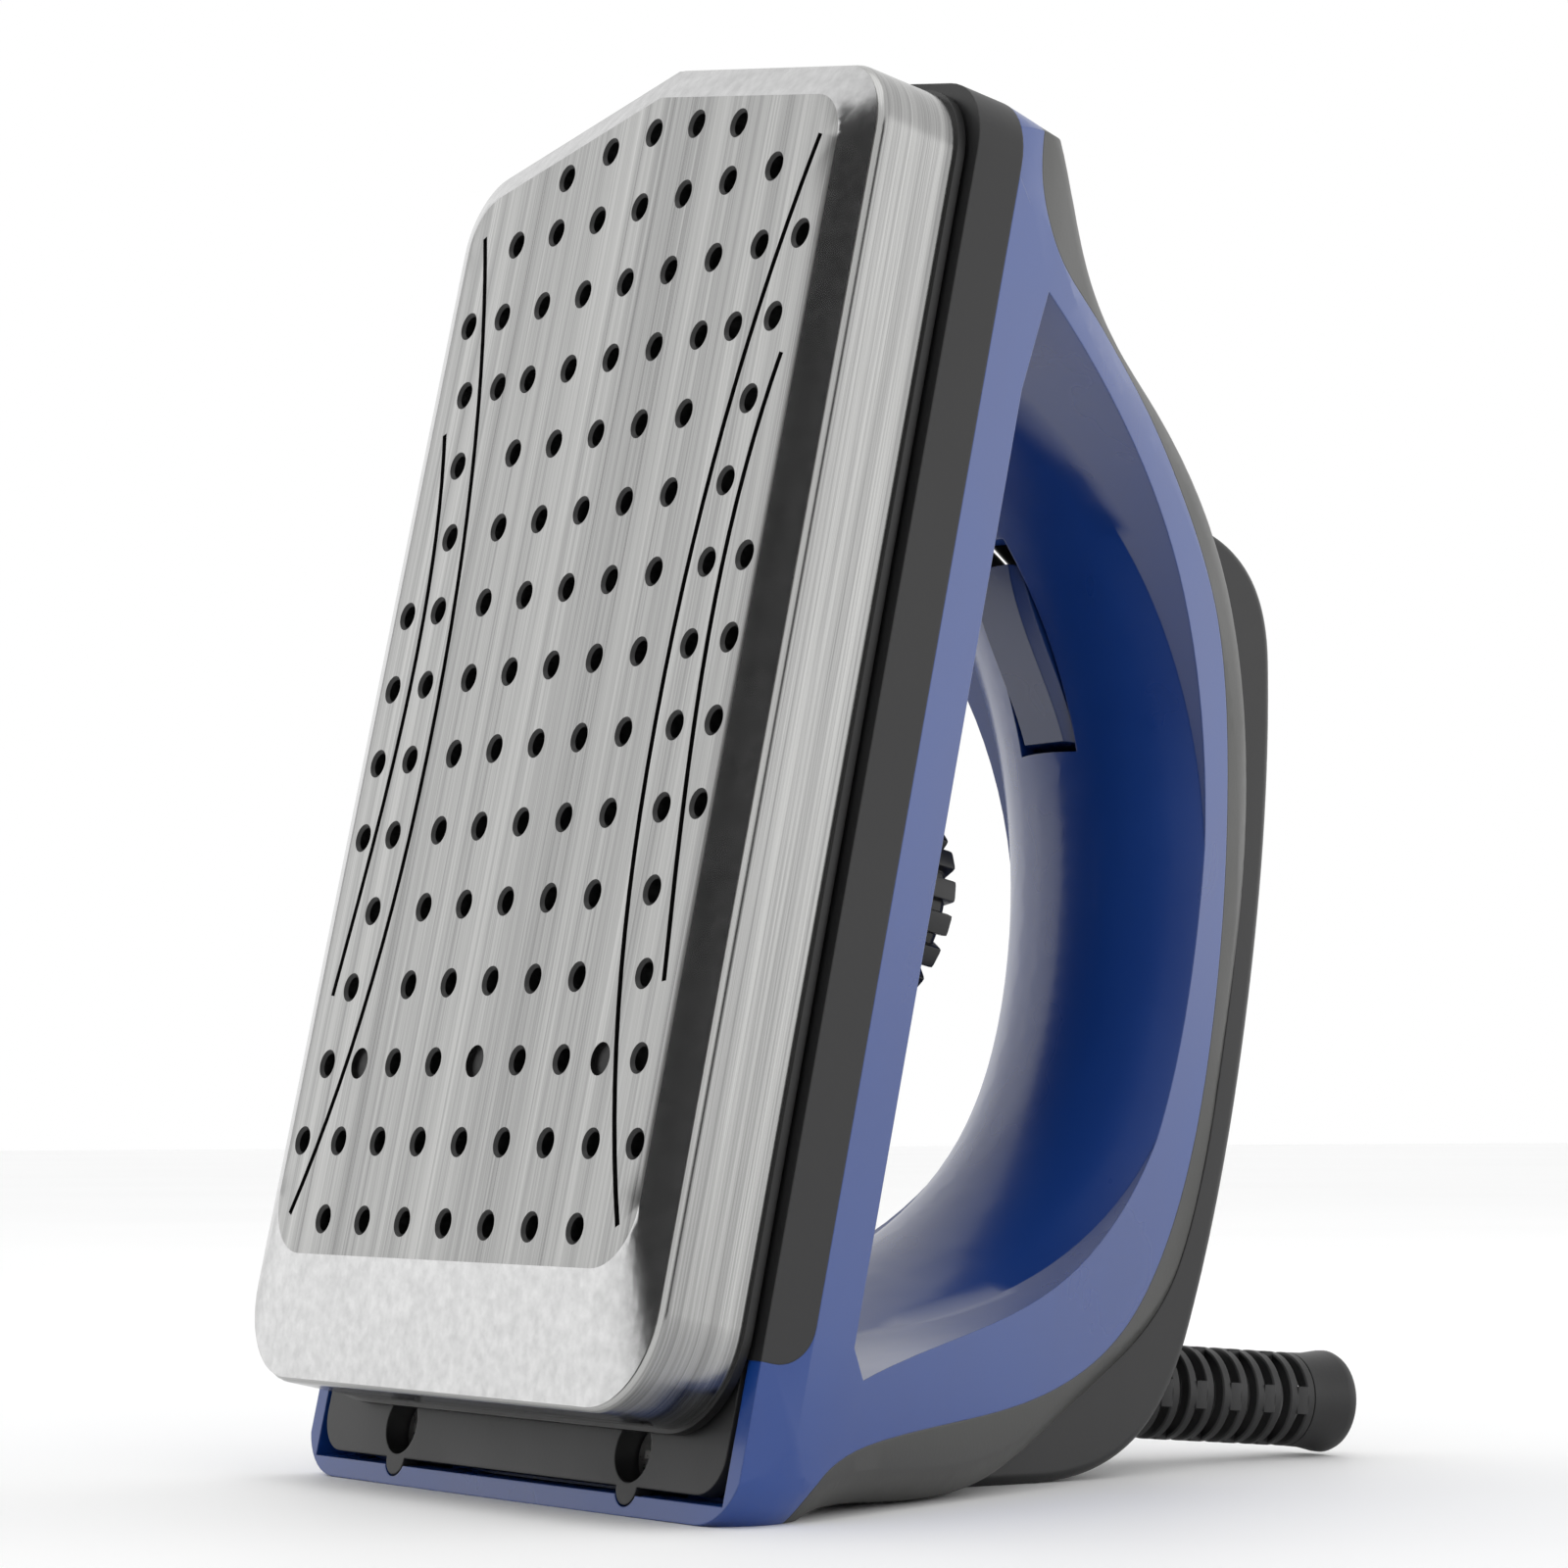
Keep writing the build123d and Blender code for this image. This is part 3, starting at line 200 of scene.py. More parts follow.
class Maker:
    """Builds one node tree, left to right, with short calls."""

    NOISE_LOW, NOISE_HIGH = 0.3, 0.7        # between these lie nearly all of a noise texture's values

    def __init__(self, name: str) -> None:
        self.material = bpy.data.materials.new(name)
        self.material.use_nodes = True
        self.tree = self.material.node_tree
        self.tree.nodes.clear()
        self.output = self.add("ShaderNodeOutputMaterial")
        self.shader = self.add("ShaderNodeBsdfPrincipled")
        self.join(self.shader.outputs["BSDF"], self.output.inputs["Surface"])

    def add(self, kind: str, **values) -> bpy.types.Node:
        """Adds a node and sets its plain properties.

        Args:
            kind: the node's type name.
            values: properties of the node and what they are set to.

        Returns:
            The node.
        """
        node = self.tree.nodes.new(kind)
        for key, value in values.items():
            setattr(node, key, value)
        return node

    def join(self, start: bpy.types.NodeSocket, end: bpy.types.NodeSocket) -> None:
        """Links two sockets."""
        self.tree.links.new(start, end)

    def ironing_coordinates(self, scale: tuple[float, float, float]) -> bpy.types.NodeSocket:
        """Coordinates across, inward and lengthwise, each times its scale.

        Args:
            scale: features per metre across, inward and along the iron.

        Returns:
            The vector socket.
        """
        place = self.add("ShaderNodeTexCoord")
        turn = self.add("ShaderNodeMapping")
        turn.inputs["Rotation"].default_value = (LEAN, 0.0, 0.0)
        stretch = self.add("ShaderNodeMapping")
        stretch.inputs["Scale"].default_value = scale
        self.join(place.outputs["Object"], turn.inputs["Vector"])
        self.join(turn.outputs["Vector"], stretch.inputs["Vector"])
        return stretch.outputs["Vector"]

    def noise(self, vector: bpy.types.NodeSocket, detail: float = 3.0,
              roughness: float = 0.55) -> bpy.types.NodeSocket:
        """Makes a noise value over the given coordinates.

        Args:
            vector: the coordinates, already scaled.
            detail: how many finer layers are added.
            roughness: how strong the finer layers are.

        Returns:
            The value socket.
        """
        node = self.add("ShaderNodeTexNoise")
        node.inputs["Scale"].default_value = 1.0
        node.inputs["Detail"].default_value = detail
        node.inputs["Roughness"].default_value = roughness
        self.join(vector, node.inputs["Vector"])
        return node.outputs["Fac"]

    def spread(self, value: bpy.types.NodeSocket, low: float, high: float) -> bpy.types.NodeSocket:
        """Maps a noise value to a range.

        Args:
            value: the noise value.
            low: what a dark spot becomes.
            high: what a light spot becomes.

        Returns:
            The value socket.
        """
        node = self.add("ShaderNodeMapRange")
        node.inputs["From Min"].default_value = self.NOISE_LOW
        node.inputs["From Max"].default_value = self.NOISE_HIGH
        node.inputs["To Min"].default_value = low
        node.inputs["To Max"].default_value = high
        self.join(value, node.inputs["Value"])
        return node.outputs["Result"]

    def colours(self, value: bpy.types.NodeSocket, dark: tuple[float, ...], light: tuple[float, ...]) -> None:
        """Mixes two base colours by a noise value.

        Args:
            value: the noise value.
            dark: the colour where it is low.
            light: the colour where it is high.
        """
        ramp = self.add("ShaderNodeValToRGB")
        first, last = ramp.color_ramp.elements
        first.position, first.color = self.NOISE_LOW, (*dark, 1.0)
        last.position, last.color = self.NOISE_HIGH, (*light, 1.0)
        self.join(value, ramp.inputs["Fac"])
        self.join(ramp.outputs["Color"], self.shader.inputs["Base Color"])

    def bump(self, value: bpy.types.NodeSocket, depth: float, rounding: float = 0.0) -> None:
        """Raises the surface by a noise value, over softly rounded edges.

        Args:
            value: the noise value.
            depth: height of the grain, in metres.
            rounding: radius of the softened edges, in metres, or 0 for none.
        """
        node = self.add("ShaderNodeBump")
        node.inputs["Strength"].default_value = 1.0
        node.inputs["Distance"].default_value = depth
        self.join(value, node.inputs["Height"])
        if rounding:
            edge = self.add("ShaderNodeBevel", samples=4)
            edge.inputs["Radius"].default_value = rounding
            self.join(edge.outputs["Normal"], node.inputs["Normal"])
        self.join(node.outputs["Normal"], self.shader.inputs["Normal"])


def make_moulding(finish: Moulding) -> bpy.types.Material:
    """Moulded plastic: slight mottling, fine grain, softly rounded edges."""
    maker = Maker(finish.name)
    fine = 1.0 / finish.grain_size
    grain = maker.noise(maker.ironing_coordinates((fine, fine, fine)), detail=2.0)
    cloud = maker.noise(maker.ironing_coordinates((40.0, 40.0, 25.0)))
    maker.colours(cloud, finish.shade, finish.colour)
    maker.join(maker.spread(cloud, *finish.roughness), maker.shader.inputs["Roughness"])
    maker.shader.inputs["Coat Weight"].default_value = finish.coat
    maker.shader.inputs["Coat Roughness"].default_value = finish.coat_roughness
    maker.bump(grain, finish.grain_depth, finish.rounding)
    return maker.material


def make_brushed(finish: BrushedSteel) -> bpy.types.Material:
    """Brushed steel: long streaks in colour, roughness and height."""
    maker = Maker(finish.name)
    across, along = 1.0 / finish.streak_width, 1.0 / finish.streak_length
    band_share, half = 0.12, 0.5
    fine = (across, across, along) if finish.grain is Grain.LENGTHWISE else (along, across, along)
    broad = tuple(value * band_share for value in fine)
    streaks = maker.noise(maker.ironing_coordinates(fine), detail=4.0, roughness=0.7)
    bands = maker.noise(maker.ironing_coordinates(broad), detail=3.0)
    both = maker.add("ShaderNodeMath", operation="MULTIPLY_ADD")
    both.inputs[1].default_value = half
    halved = maker.add("ShaderNodeMath", operation="MULTIPLY")
    halved.inputs[1].default_value = half
    maker.join(bands, halved.inputs[0])
    maker.join(streaks, both.inputs[0])
    maker.join(halved.outputs[0], both.inputs[2])
    maker.colours(both.outputs[0], finish.dark, finish.light)
    maker.join(maker.spread(both.outputs[0], *finish.roughness), maker.shader.inputs["Roughness"])
    maker.shader.inputs["Metallic"].default_value = 1.0
    maker.bump(streaks, finish.depth, 0.15 * MM)
    return maker.material


def make_metal(finish: PlainMetal) -> bpy.types.Material:
    """Cast, turned or plated metal with a fine random grain."""
    maker = Maker(finish.name)
    fine = 1.0 / finish.grain_size
    grain = maker.noise(maker.ironing_coordinates((fine, fine, fine)))
    maker.colours(grain, tuple(0.8 * value for value in finish.colour), finish.colour)
    maker.join(maker.spread(grain, *finish.roughness), maker.shader.inputs["Roughness"])
    maker.shader.inputs["Metallic"].default_value = 1.0
    maker.bump(grain, finish.grain_depth)
    return maker.material


def make_clear(finish: Clear) -> bpy.types.Material:
    """Tinted transparent resin or glass with a faint ripple."""
    maker = Maker(finish.name)
    ripple = maker.noise(maker.ironing_coordinates((600.0, 600.0, 600.0)))
    maker.colours(ripple, tuple(0.85 * value for value in finish.colour), finish.colour)
    maker.shader.inputs["Roughness"].default_value = finish.roughness
    maker.shader.inputs["Transmission Weight"].default_value = finish.transmission
    return maker.material


MAKERS = {Moulding: make_moulding, BrushedSteel: make_brushed, PlainMetal: make_metal, Clear: make_clear}
_made: dict[str, bpy.types.Material] = {}


def material(finish: Finish) -> bpy.types.Material:
    """The material of a finish, made once.

    Args:
        finish: one of the finish dataclasses.

    Returns:
        The Blender material.
    """
    if finish.name not in _made:
        _made[finish.name] = MAKERS[type(finish)](finish)
    return _made[finish.name]


# ------------------------------------------------------------------------------------- mesh helpers
def new_object(name: str, mesh: bpy.types.Mesh) -> bpy.types.Object:
    """Links a mesh into the scene as an untransformed object."""
    made = bpy.data.objects.new(name, mesh)
    bpy.context.scene.collection.objects.link(made)
    return made


def shade(mesh: bpy.types.Mesh, crease: float) -> None:
    """Smooths a mesh, keeping edges sharper than crease.

    Args:
        mesh: the mesh, already merged.
        crease: angle in degrees above which an edge stays sharp.
    """
    work = bmesh.new()
    work.from_mesh(mesh)
    limit = math.radians(crease)
    for face in work.faces:
        face.smooth = True
    for edge in work.edges:
        edge.smooth = len(edge.link_faces) == 2 and edge.calc_face_angle(math.pi) < limit
    work.to_mesh(mesh)
    work.free()


def weigh_normals(made: bpy.types.Object) -> None:
    """Weights corner normals by face area, so that flat faces stay flat beside their rounded edges."""
    change = made.modifiers.new("face weights", "WEIGHTED_NORMAL")
    change.keep_sharp = True
    bake(made)


def bake(made: bpy.types.Object) -> None:
    """Replaces an object's mesh by its evaluated one and drops its modifiers.

    Args:
        made: the object with its modifiers.
    """
    bpy.context.view_layer.update()
    graph = bpy.context.evaluated_depsgraph_get()
    mesh = bpy.data.meshes.new_from_object(made.evaluated_get(graph))
    made.modifiers.clear()
    made.data = mesh


def refined(node: str, crease: float = 28.0) -> bpy.types.Object:
    """A smooth-shaded copy of a CAD node.

    Args:
        node: the CAD node's name.
        crease: angle in degrees above which an edge stays sharp.

    Returns:
        The copy, at the origin, not yet riding on a body.
    """
    mesh = frame["nodes"][node].data.copy()
    mesh.materials.clear()
    work = bmesh.new()
    work.from_mesh(mesh)
    bmesh.ops.remove_doubles(work, verts=work.verts, dist=0.002 * MM)
    bmesh.ops.dissolve_degenerate(work, edges=work.edges, dist=0.001 * MM)
    bmesh.ops.recalc_face_normals(work, faces=work.faces)
    work.to_mesh(mesh)
    work.free()
    shade(mesh, crease)
    made = new_object(node + "_look", mesh)
    weigh_normals(made)
    return made


def place(made: bpy.types.Object, body: str, nodes: tuple[str, ...]) -> bpy.types.Object:
    """Lets a piece ride on a body in place of CAD nodes.

    Args:
        made: the finished piece.
        body: the body it rides on.
        nodes: the CAD nodes that it replaces.

    Returns:
        The same piece.
    """
    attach(made, body)
    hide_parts(*nodes)
    slot_of(nodes[0])
    return made


def slot_of(node: str) -> str:
    """The record's material slot of a CAD node."""
    return next(part["material_slot"] for part in frame["record"]["subparts"] if part["node"] == node)


def lathe(profile: list[tuple[float, float]], steps: int) -> bpy.types.Mesh:
    """Turns a closed profile round the z axis.

    Args:
        profile: radius and height of each corner, in mm, in order round the section.
        steps: number of facets round the axis.

    Returns:
        A closed mesh in metres.
    """
    work = bmesh.new()
    rings = []
    for step in range(steps):
        turn = FULL_TURN * step / steps
        rings.append([work.verts.new((r * MM * math.cos(turn), r * MM * math.sin(turn), z * MM))
                      for r, z in profile])
    for step, ring in enumerate(rings):
        after = rings[(step + 1) % steps]
        for index in range(len(profile)):
            nxt = (index + 1) % len(profile)
            work.faces.new((ring[index], after[index], after[nxt], ring[nxt]))
    bmesh.ops.remove_doubles(work, verts=work.verts, dist=1e-7)
    bmesh.ops.recalc_face_normals(work, faces=work.faces)
    mesh = bpy.data.meshes.new("lathe")
    work.to_mesh(mesh)
    work.free()
    return mesh


def block(size: tuple[float, float, float], middle: tuple[float, float, float],
          edge: float) -> bpy.types.Mesh:
    """A block with rounded edges, sizes in mm.

    Args:
        size: its three sizes.
        middle: where its middle lies.
        edge: how far its edges are cut back.

    Returns:
        A closed mesh in metres.
    """
    work = bmesh.new()
    bmesh.ops.create_cube(work, size=1.0)
    bmesh.ops.scale(work, vec=Vector(size) * MM, verts=work.verts)
    bmesh.ops.translate(work, vec=Vector(middle) * MM, verts=work.verts)
    bmesh.ops.bevel(work, geom=work.edges, offset=edge * MM, segments=2, affect="EDGES", profile=0.7)
    mesh = bpy.data.meshes.new("block")
    work.to_mesh(mesh)
    work.free()
    return mesh


# ------------------------------------------------------------------------------------- repeats
class Repeat(Enum):
    """How a repeating tree lays out its copies."""

    ROUND = "round an axis"
    STACKED = "stacked along an axis"


def repeat_tree(layout: Repeat) -> bpy.types.NodeTree:
    """A geometry tree that repeats an object and paints the copies.

    Args:
        layout: round an axis, or stacked with a turn between neighbours.

    Returns:
        The node tree with named inputs.
    """
    tree = bpy.data.node_groups.new("repeat " + layout.value, "GeometryNodeTree")
    inputs = {"Geometry": "Geometry", "Piece": "Object", "Count": "Int", "Step": "Float", "Turn": "Float",
              "Size wander": "Float", "Seed": "Int", "Finish": "Material"}
    for name, kind in inputs.items():
        tree.interface.new_socket(name, in_out="INPUT", socket_type="NodeSocket" + kind)
    tree.interface.new_socket("Geometry", in_out="OUTPUT", socket_type="NodeSocketGeometry")
    add, link = tree.nodes.new, tree.links.new
    given, result = add("NodeGroupInput"), add("NodeGroupOutput")
    line = add("GeometryNodeMeshLine")
    line.mode = "OFFSET"
    offset = add("ShaderNodeCombineXYZ")
    if layout is Repeat.STACKED:
        link(given.outputs["Step"], offset.inputs["Z"])
    link(given.outputs["Count"], line.inputs["Count"])
    link(offset.outputs[0], line.inputs["Offset"])
    index, turn, angle = add("GeometryNodeInputIndex"), add("ShaderNodeMath"), add("ShaderNodeCombineXYZ")
    turn.operation = "MULTIPLY"
    link(index.outputs[0], turn.inputs[0])
    link(given.outputs["Turn"], turn.inputs[1])
    link(turn.outputs[0], angle.inputs["Z"])
    wander, low, high = add("FunctionNodeRandomValue"), add("ShaderNodeMath"), add("ShaderNodeMath")
    low.operation, high.operation = "SUBTRACT", "ADD"
    low.inputs[0].default_value = high.inputs[0].default_value = 1.0
    link(given.outputs["Size wander"], low.inputs[1])
    link(given.outputs["Size wander"], high.inputs[1])
    floats = [socket for socket in wander.inputs if socket.type == "VALUE"]
    link(low.outputs[0], floats[0])
    link(high.outputs[0], floats[1])
    link(given.outputs["Seed"], wander.inputs["Seed"])
    grow = add("ShaderNodeCombineXYZ")
    size = [socket for socket in wander.outputs if socket.type == "VALUE"][0]
    for axis in "XYZ":
        link(size, grow.inputs[axis])
    copy, spread = add("GeometryNodeObjectInfo"), add("GeometryNodeInstanceOnPoints")
    real, joined = add("GeometryNodeRealizeInstances"), add("GeometryNodeJoinGeometry")
    paint = add("GeometryNodeSetMaterial")
    link(given.outputs["Piece"], copy.inputs["Object"])
    link(line.outputs["Mesh"], spread.inputs["Points"])
    link(copy.outputs["Geometry"], spread.inputs["Instance"])
    link(angle.outputs[0], spread.inputs["Rotation"])
    link(grow.outputs[0], spread.inputs["Scale"])
    link(spread.outputs["Instances"], real.inputs["Geometry"])
    link(real.outputs["Geometry"], joined.inputs["Geometry"])
    link(given.outputs["Geometry"], joined.inputs["Geometry"])
    link(joined.outputs["Geometry"], paint.inputs["Geometry"])
    link(given.outputs["Finish"], paint.inputs["Material"])
    link(paint.outputs["Geometry"], result.inputs["Geometry"])
    return tree


def repeat_on(made: bpy.types.Object, piece: bpy.types.Mesh, tree: bpy.types.NodeTree, **values) -> None:
    """Adds repeated copies of a mesh to an object and bakes them in.

    Args:
        made: the object that receives the copies.
        piece: the mesh to repeat, in the object's own frame.
        tree: one of the repeating trees.
        values: the tree's named inputs, with underscores for spaces.
    """
    pattern = bpy.data.objects.new("pattern", piece)
    change = made.modifiers.new("repeat", "NODES")
    change.node_group = tree
    values["Piece"] = pattern
    for item in tree.interface.items_tree:
        key = item.name.replace(" ", "_")
        if item.in_out == "INPUT" and key in values:
            change[item.identifier] = values[key]
    bake(made)
    bpy.data.objects.remove(pattern)


# ------------------------------------------------------------------------------------- sub-assemblies
@dataclass
class Sole:
    """The brushed steel sole and what it holds."""

    flat: float = 0.9995                # how squarely a facet faces the cloth to count as the flat face
    sloped: float = 0.85                # the least for the bevel
    skin: float = 0.05                  # mm behind the face that still counts as the face
    bevel_drop: float = 2.4             # depth of the bevel, mm
    hidden: dict[str, Finish] = field(default_factory=lambda: {
        # the sole screws are black as painted shade of their recesses
        "sole_screws": SCREW_BLACK_AND_RECESS_SHADE, "sole_casting": CAST, "heating_element": SHEATH,
        "element_terminals": BRASS, "chamber_gasket": GASKET_RED, "chamber_lid": SHEET,
        "lid_screws": SCREW_STEEL, "thermal_fuse": SHEET, "steam_inlet": BRASS,
        "thermostat_bracket": SHEET, "thermostat_body": BROWN_RESIN})

    def build(self) -> None:
        """Builds the sole: brushed face, polished bevel, holes and grooves in dark steel as painted shade,
        brushed side.
        """
        made = refined("sole_plate", 24.0)
        for finish in (SOLE_FACE, POLISHED_BEVEL, HOLE_SHADE_STEEL, SOLE_SIDE):
            made.data.materials.append(material(finish))
        back = STAND.inverted()
        turn = back.to_3x3()
        for face in made.data.polygons:
            depth, facing = (back @ face.center).z / MM, -(turn @ face.normal).z
            face.material_index = self.kind_of_face(depth, facing)
        place(made, "iron", ("sole_plate",))
        for node, finish in self.hidden.items():
            dressed(node, finish)

    def kind_of_face(self, depth: float, facing: float) -> int:
        """Which finish a facet of the sole has.

        Args:
            depth: how far its middle lies behind the flat face, in mm.
            facing: how squarely it faces the cloth, 1 for flat.

        Returns:
            The material index: face, bevel, dark steel painted as hole and groove shade, or side.
        """
        if facing > self.flat and depth < self.skin:
            return 0
        if self.sloped < facing <= self.flat and depth < self.bevel_drop:
            return 1
        # hole and groove walls get the dark steel, as painted shade
        if depth < self.bevel_drop - self.skin:
            return 2
        return 3


def dressed(node: str, finish: Finish, body: str = "iron", crease: float = 28.0) -> bpy.types.Object:
    """Makes a refined copy of a CAD node in one finish, riding on its body.

    Args:
        node: the CAD node's name.
        finish: what its surface looks like.
        body: the body it rides on.
        crease: angle in degrees above which an edge stays sharp.

    Returns:
        The copy.
    """
    made = refined(node, crease)
    made.data.materials.append(material(finish))
    return place(made, body, (node,))


@dataclass
class Base:
    """Heat shield, black skirt and heel, with their screws."""

    parts: dict[str, Finish] = field(default_factory=lambda: {
        "heat_shield": SHIELD_PAINT, "base_frame": BLACK_SKIRT, "frame_screws": SCREW_STEEL,
        "heel_screws": SCREW_STEEL})

    def build(self) -> None:
        """Dresses each part."""
        for node, finish in self.parts.items():
            dressed(node, finish)


@dataclass
class Handle:
    """Blue body, grey cover, rear housing and what they hold."""

    parts: dict[str, Finish] = field(default_factory=lambda: {
        "body_shell": BLUE, "handle_cover": GREY, "rear_housing": BLACK_HOUSING,
        "housing_screws": SCREW_BLACK_AND_RECESS_SHADE, "cord_clamp": BLACK_SKIRT, "clamp_screws": SCREW_STEEL,
        "terminal_block": WHITE_RESIN, "mains_wires": WHITE_RESIN, "steam_hose": SILICONE,
        "trigger_pin": SHEET, "microswitch": BROWN_RESIN})
    spring_x: float = 109.5
    spring_foot: float = 87.6           # foot of the spring, which sits on the trigger, mm
    spring_top: float = 96.0            # top of the spring, which sits on the switch, mm

    def build(self) -> None:
        """Dresses each part."""
        for node, finish in self.parts.items():
            dressed(node, finish, crease=26.0)
        self.build_spring()

    def build_spring(self) -> None:
        """The trigger's return spring in sheet steel, riding on no body; its foot and top points are worked
        out but not used.
        """
        made = refined("trigger_spring")
        made.data.materials.append(material(SHEET))
        foot, top = (STAND @ Vector((self.spring_x * MM, 0.0, height * MM))
                     for height in (self.spring_foot, self.spring_top))
        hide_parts("trigger_spring")
        tuple(foot)
        tuple(top)
        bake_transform(made)


@dataclass
class Controls:
    """Panel, lamp, dial, trigger and plunger."""

    dial_x: float = 63.0
    dial_radius: float = 15.6
    dial_low: float = 52.1
    dial_top: float = 68.8
    shaft_room: float = 3.05
    lobes: int = 18
    lobe_depth: float = 1.3
    lobe_gap: float = 2.0
    seat: float = 63.1                  # where the shaft ends inside the knob
    facets: int = 96

    def build(self) -> None:
        """Builds the deck's controls and the trigger."""
        dressed("control_panel", BLACK_PANEL)
        dressed("pilot_lens", AMBER)
        dressed("pilot_lamp", LAMP)
        dressed("dial_mark", WHITE_MARK, "dial_knob")
        dressed("thermostat_shaft", SHEET, "dial_knob")
        dressed("steam_trigger", TRIGGER_BLUE, "trigger", 35.0)
        dressed("switch_plunger", WHITE_RESIN, "plunger")
        self.build_dial()

    def build_dial(self) -> None:
        """A turned knob with chamfered lobes repeated round its edge."""
        inner, low, top = self.dial_radius - self.lobe_depth, self.dial_low, self.dial_top
        profile = [(self.shaft_room, low), (inner, low), (inner, top - 1.9), (inner - 0.6, top - 0.9),
                   (inner - 1.9, top - 0.3), (inner - 3.4, top - 0.5), (2.0, top - 0.7), (0.0, top - 0.7),
                   (0.0, self.seat), (self.shaft_room, self.seat)]
        mesh = lathe(profile, self.facets)
        shade(mesh, 25.0)
        made = new_object("temperature_dial", mesh)
        width = FULL_TURN * self.dial_radius / self.lobes - self.lobe_gap
        height = top - low - 4.0
        middle = (inner - 0.65, 0.0, top - 0.15 - height / 2)
        lobe = block((2.6 + self.lobe_depth, width, height), middle, 0.7)
        shade(lobe, 50.0)
        repeat_on(made, lobe, repeat_tree(Repeat.ROUND), Count=self.lobes, Step=0.0,
                  Turn=FULL_TURN / self.lobes, Size_wander=0.0, Seed=3, Finish=material(BLACK_DIAL))
        rim = self.dial_radius - 0.2
        foot = lathe([(inner - 1.0, low), (self.dial_radius - 0.5, low), (rim, low + 0.4), (rim, low + 3.2),
                      (inner - 1.0, low + 3.8)], self.facets)
        shade(foot, 25.0)
        merge_into(made, foot)
        paint_all(made, BLACK_DIAL)
        made.data.transform(STAND @ Matrix.Translation((self.dial_x * MM, 0.0, 0.0)))
        place(made, "dial_knob", ("dial",))


def merge_into(made: bpy.types.Object, mesh: bpy.types.Mesh) -> None:
    """Adds a mesh to an object's mesh, keeping the first material.

    Args:
        made: the object that grows.
        mesh: what is added to it.
    """
    work = bmesh.new()
    work.from_mesh(made.data)
    work.from_mesh(mesh)
    work.to_mesh(made.data)
    work.free()


def paint_all(made: bpy.types.Object, finish: Finish) -> None:
    """Gives every face of an object one finish.

    Args:
        made: the object.
        finish: its only finish from here on.
    """
    made.data.materials.clear()
    made.data.materials.append(material(finish))
    for face in made.data.polygons:
        face.material_index = 0


@dataclass
class CordGuard:
    """The slotted guard: stacked rings joined by ribs that turn a quarter at each step."""

    root: tuple[float, float] = (-3.5, 108.0)
    tilt: float = math.radians(7.8)
    radius: float = 7.6
    bore: float = 5.6
    length: float = 55.0
    slots: int = 10
    slot: float = 1.8
    step: float = 3.55
    rib: float = 4.4
    flange: float = 9.2
    flange_height: float = 2.0
    ring_edge: float = 0.25
    flare_height: float = 7.0
    facets: int = 64

    def build(self) -> None:
        """Builds the guard and stands it in the housing."""
        first = self.length - 1.2 + self.slot / 2
        low = first - self.slots * self.step
        foot = [(self.bore, 0.0), (self.flange, 0.0), (self.flange, self.flange_height),
                (self.radius, self.flange_height), (self.radius, low), (self.bore, low)]
        made = new_object("cord_guard_look", lathe(foot, self.facets))
        height, edge = self.step - self.slot, self.ring_edge
        ring = lathe([(self.bore, 0.0), (self.radius - edge, 0.0), (self.radius, edge),
                      (self.radius, height - edge), (self.radius - edge, height), (self.bore, height)],
                     self.facets)
        repeat_on(made, moved(ring, low + self.slot), repeat_tree(Repeat.STACKED), Count=self.slots,
                  Step=self.step * MM, Turn=0.0, Size_wander=0.0, Seed=5, Finish=material(BLACK_RUBBER))
        repeat_on(made, moved(self.rib_pair(), low), repeat_tree(Repeat.STACKED), Count=self.slots,
                  Step=self.step * MM, Turn=FULL_TURN / 4, Size_wander=0.0, Seed=7,
                  Finish=material(BLACK_RUBBER))
        end = self.length + self.flare_height
        flare = [(self.bore, first), (self.radius, first), (self.radius + 0.1, self.length + 3.0),
                 (8.25, end - 0.6), (8.3, end + 0.4), (8.0, end + 1.1), (7.4, end + 1.3), (6.9, end + 1.0),
                 (self.bore, self.length)]
        merge_into(made, lathe(flare, self.facets))
        shade(made.data, 30.0)
        paint_all(made, BLACK_RUBBER)
        lean = Matrix.Rotation(self.tilt, 4, "Y")
        root = Matrix.Translation((self.root[0] * MM, 0.0, self.root[1] * MM))
        made.data.transform(STAND @ root @ lean)
        place(made, "iron", ("cord_guard",))

    def rib_pair(self) -> bpy.types.Mesh:
        """Makes two ribs on opposite sides that bridge one slot.

        Returns:
            Both ribs in one mesh, in metres.
        """
        thick = self.radius - self.bore
        work = bmesh.new()
        for side in (-1, 1):
            middle = (side * (self.bore + thick / 2), 0.0, self.slot / 2)
            work.from_mesh(block((thick - 0.1, self.rib, self.slot + 0.5), middle, 0.1))
        mesh = bpy.data.meshes.new("rib pair")
        work.to_mesh(mesh)
        work.free()
        return mesh


def moved(mesh: bpy.types.Mesh, height: float) -> bpy.types.Mesh:
    """Lifts a mesh by a height in mm."""
    mesh.transform(Matrix.Translation((0.0, 0.0, height * MM)))
    return mesh


# ------------------------------------------------------------------------------------- studio
@dataclass(frozen=True)
class Panel:
    """A soft light panel."""

    name: str
    towards: tuple[float, float, float]
    distance: float
    size: tuple[float, float]
    radiance: float


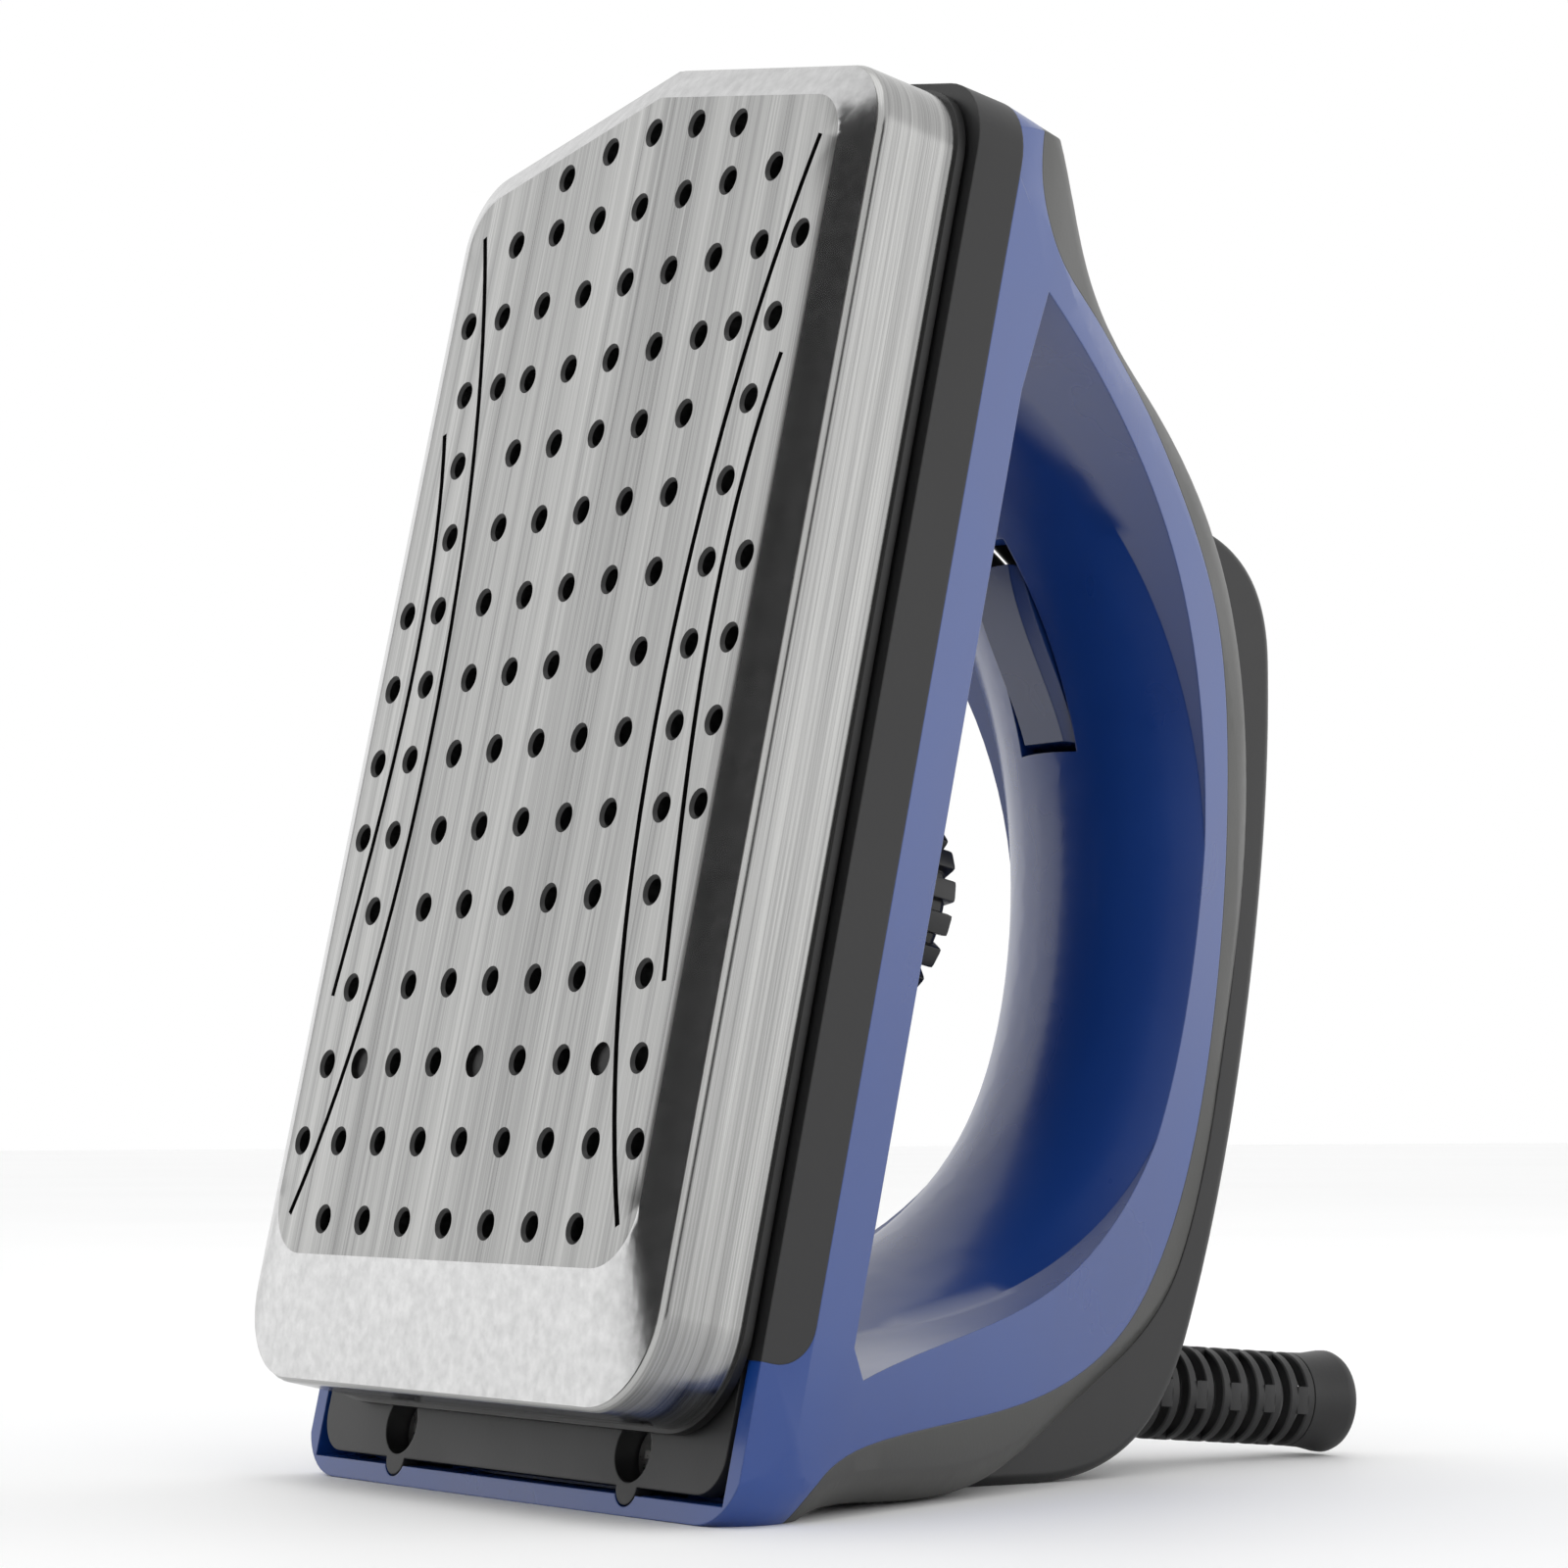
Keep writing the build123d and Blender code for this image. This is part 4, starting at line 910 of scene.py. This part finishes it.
@dataclass
class Studio:
    """Floor, lights, sky and camera."""

    azimuth: float = 55.55
    elevation: float = -4.2
    lens: float = 103.55
    spot: tuple[float, float, float] = (0.5675, -0.3296, 0.0156)
    sky: float = 1.0
    panels: tuple[Panel, ...] = (
        Panel("sole panel", (-0.82, -0.48, 0.30), 1.6, (1.0, 1.2), 0.3),
        Panel("back panel", (0.25, 1.0, 0.05), 1.4, (1.8, 1.3), 0.6),
        Panel("top panel", (0.1, -0.2, 1.0), 1.3, (1.0, 1.0), 0.6),
        Panel("side panel", (0.82, 0.57, 0.08), 1.5, (0.9, 1.4), 0.4),
    )

    cards: tuple[Panel, ...] = (
        Panel("front card", (-0.25, -0.89, 0.39), 1.0, (0.7, 0.9), 0.0),
        Panel("corner card", (0.95, -0.12, 0.2), 1.0, (0.35, 0.9), 0.0),
    )

    def build(self) -> None:
        """Sets the whole studio."""
        bpy.context.scene.view_settings.view_transform = "Standard"
        self.build_floor()
        middle = (CAD_BOUNDS[0] + CAD_BOUNDS[1]) / 2
        for card in self.cards:
            self.build_card(card, middle)
        self.build_sky()
        for panel in self.panels:
            self.build_panel(panel, middle)
        self.build_camera()

    def build_floor(self) -> None:
        """A wide pale floor under the iron."""
        work = bmesh.new()
        bmesh.ops.create_grid(work, x_segments=1, y_segments=1, size=6.0)
        mesh = bpy.data.meshes.new("floor")
        work.to_mesh(mesh)
        work.free()
        floor = new_object("floor", mesh)
        maker = Maker("pale floor")
        cloud = maker.noise(maker.ironing_coordinates((3.0, 3.0, 3.0)))
        maker.colours(cloud, (0.93, 0.93, 0.93), (0.95, 0.95, 0.95))
        maker.shader.inputs["Roughness"].default_value = 0.6
        mesh.materials.append(maker.material)

    def build_card(self, card: Panel, middle: Vector) -> None:
        """Hangs a black card that only shows as a dark reflection in the steel.

        Args:
            card: its place and size.
            middle: the point it faces.
        """
        towards = Vector(card.towards).normalized()
        work = bmesh.new()
        bmesh.ops.create_grid(work, x_segments=1, y_segments=1, size=0.5)
        bmesh.ops.scale(work, vec=(*card.size, 1.0), verts=work.verts)
        mesh = bpy.data.meshes.new(card.name)
        work.to_mesh(mesh)
        work.free()
        turn = towards.to_track_quat("Z", "Y").to_matrix().to_4x4()
        mesh.transform(Matrix.Translation(middle + towards * card.distance) @ turn)
        made = new_object(card.name, mesh)
        maker = Maker(card.name)
        cloud = maker.noise(maker.ironing_coordinates((5.0, 5.0, 5.0)))
        maker.colours(cloud, (0.006,) * 3, (0.01,) * 3)
        maker.shader.inputs["Roughness"].default_value = 0.9
        mesh.materials.append(maker.material)
        made.visible_camera = made.visible_diffuse = made.visible_shadow = False

    def build_sky(self) -> None:
        """An even pale surrounding."""
        world = bpy.data.worlds.new("studio")
        world.use_nodes = True
        shade_node = world.node_tree.nodes["Background"]
        shade_node.inputs["Color"].default_value = (1.0, 1.0, 1.0, 1.0)
        shade_node.inputs["Strength"].default_value = self.sky
        bpy.context.scene.world = world

    def build_panel(self, panel: Panel, middle: Vector) -> None:
        """Hangs one soft light panel.

        Args:
            panel: its place, size and strength.
            middle: the point it shines at.
        """
        lamp = bpy.data.lights.new(panel.name, "AREA")
        lamp.shape = "RECTANGLE"
        lamp.size, lamp.size_y = panel.size
        lamp.energy = panel.radiance * math.pi * panel.size[0] * panel.size[1]
        made = bpy.data.objects.new(panel.name, lamp)
        bpy.context.scene.collection.objects.link(made)
        towards = Vector(panel.towards).normalized()
        made.location = middle + towards * panel.distance
        made.rotation_euler = towards.to_track_quat("Z", "Y").to_euler()
        made.visible_camera = False

    def build_camera(self) -> None:
        """Sets the camera, low and looking slightly up at the iron."""
        lens = bpy.data.cameras.new("camera")
        lens.lens, lens.sensor_width = self.lens, 36.0
        lens.clip_start = 0.01
        made = bpy.data.objects.new("camera", lens)
        bpy.context.scene.collection.objects.link(made)
        turn, lift = math.radians(self.azimuth), math.radians(self.elevation)
        back = Vector((math.sin(turn) * math.cos(lift), -math.cos(turn) * math.cos(lift), math.sin(lift)))
        made.location = STAND.translation + Vector(self.spot)
        made.rotation_euler = back.to_track_quat("Z", "Y").to_euler()
        bpy.context.scene.camera = made


def main() -> None:
    """Builds every sub-assembly and the studio."""
    logging.basicConfig(level=logging.INFO)
    for assembly in (Sole(), Base(), Handle(), Controls(), CordGuard(), Studio()):
        LOG.info("building %s", type(assembly).__name__)
        assembly.build()


if __name__ == "__main__":
    main()
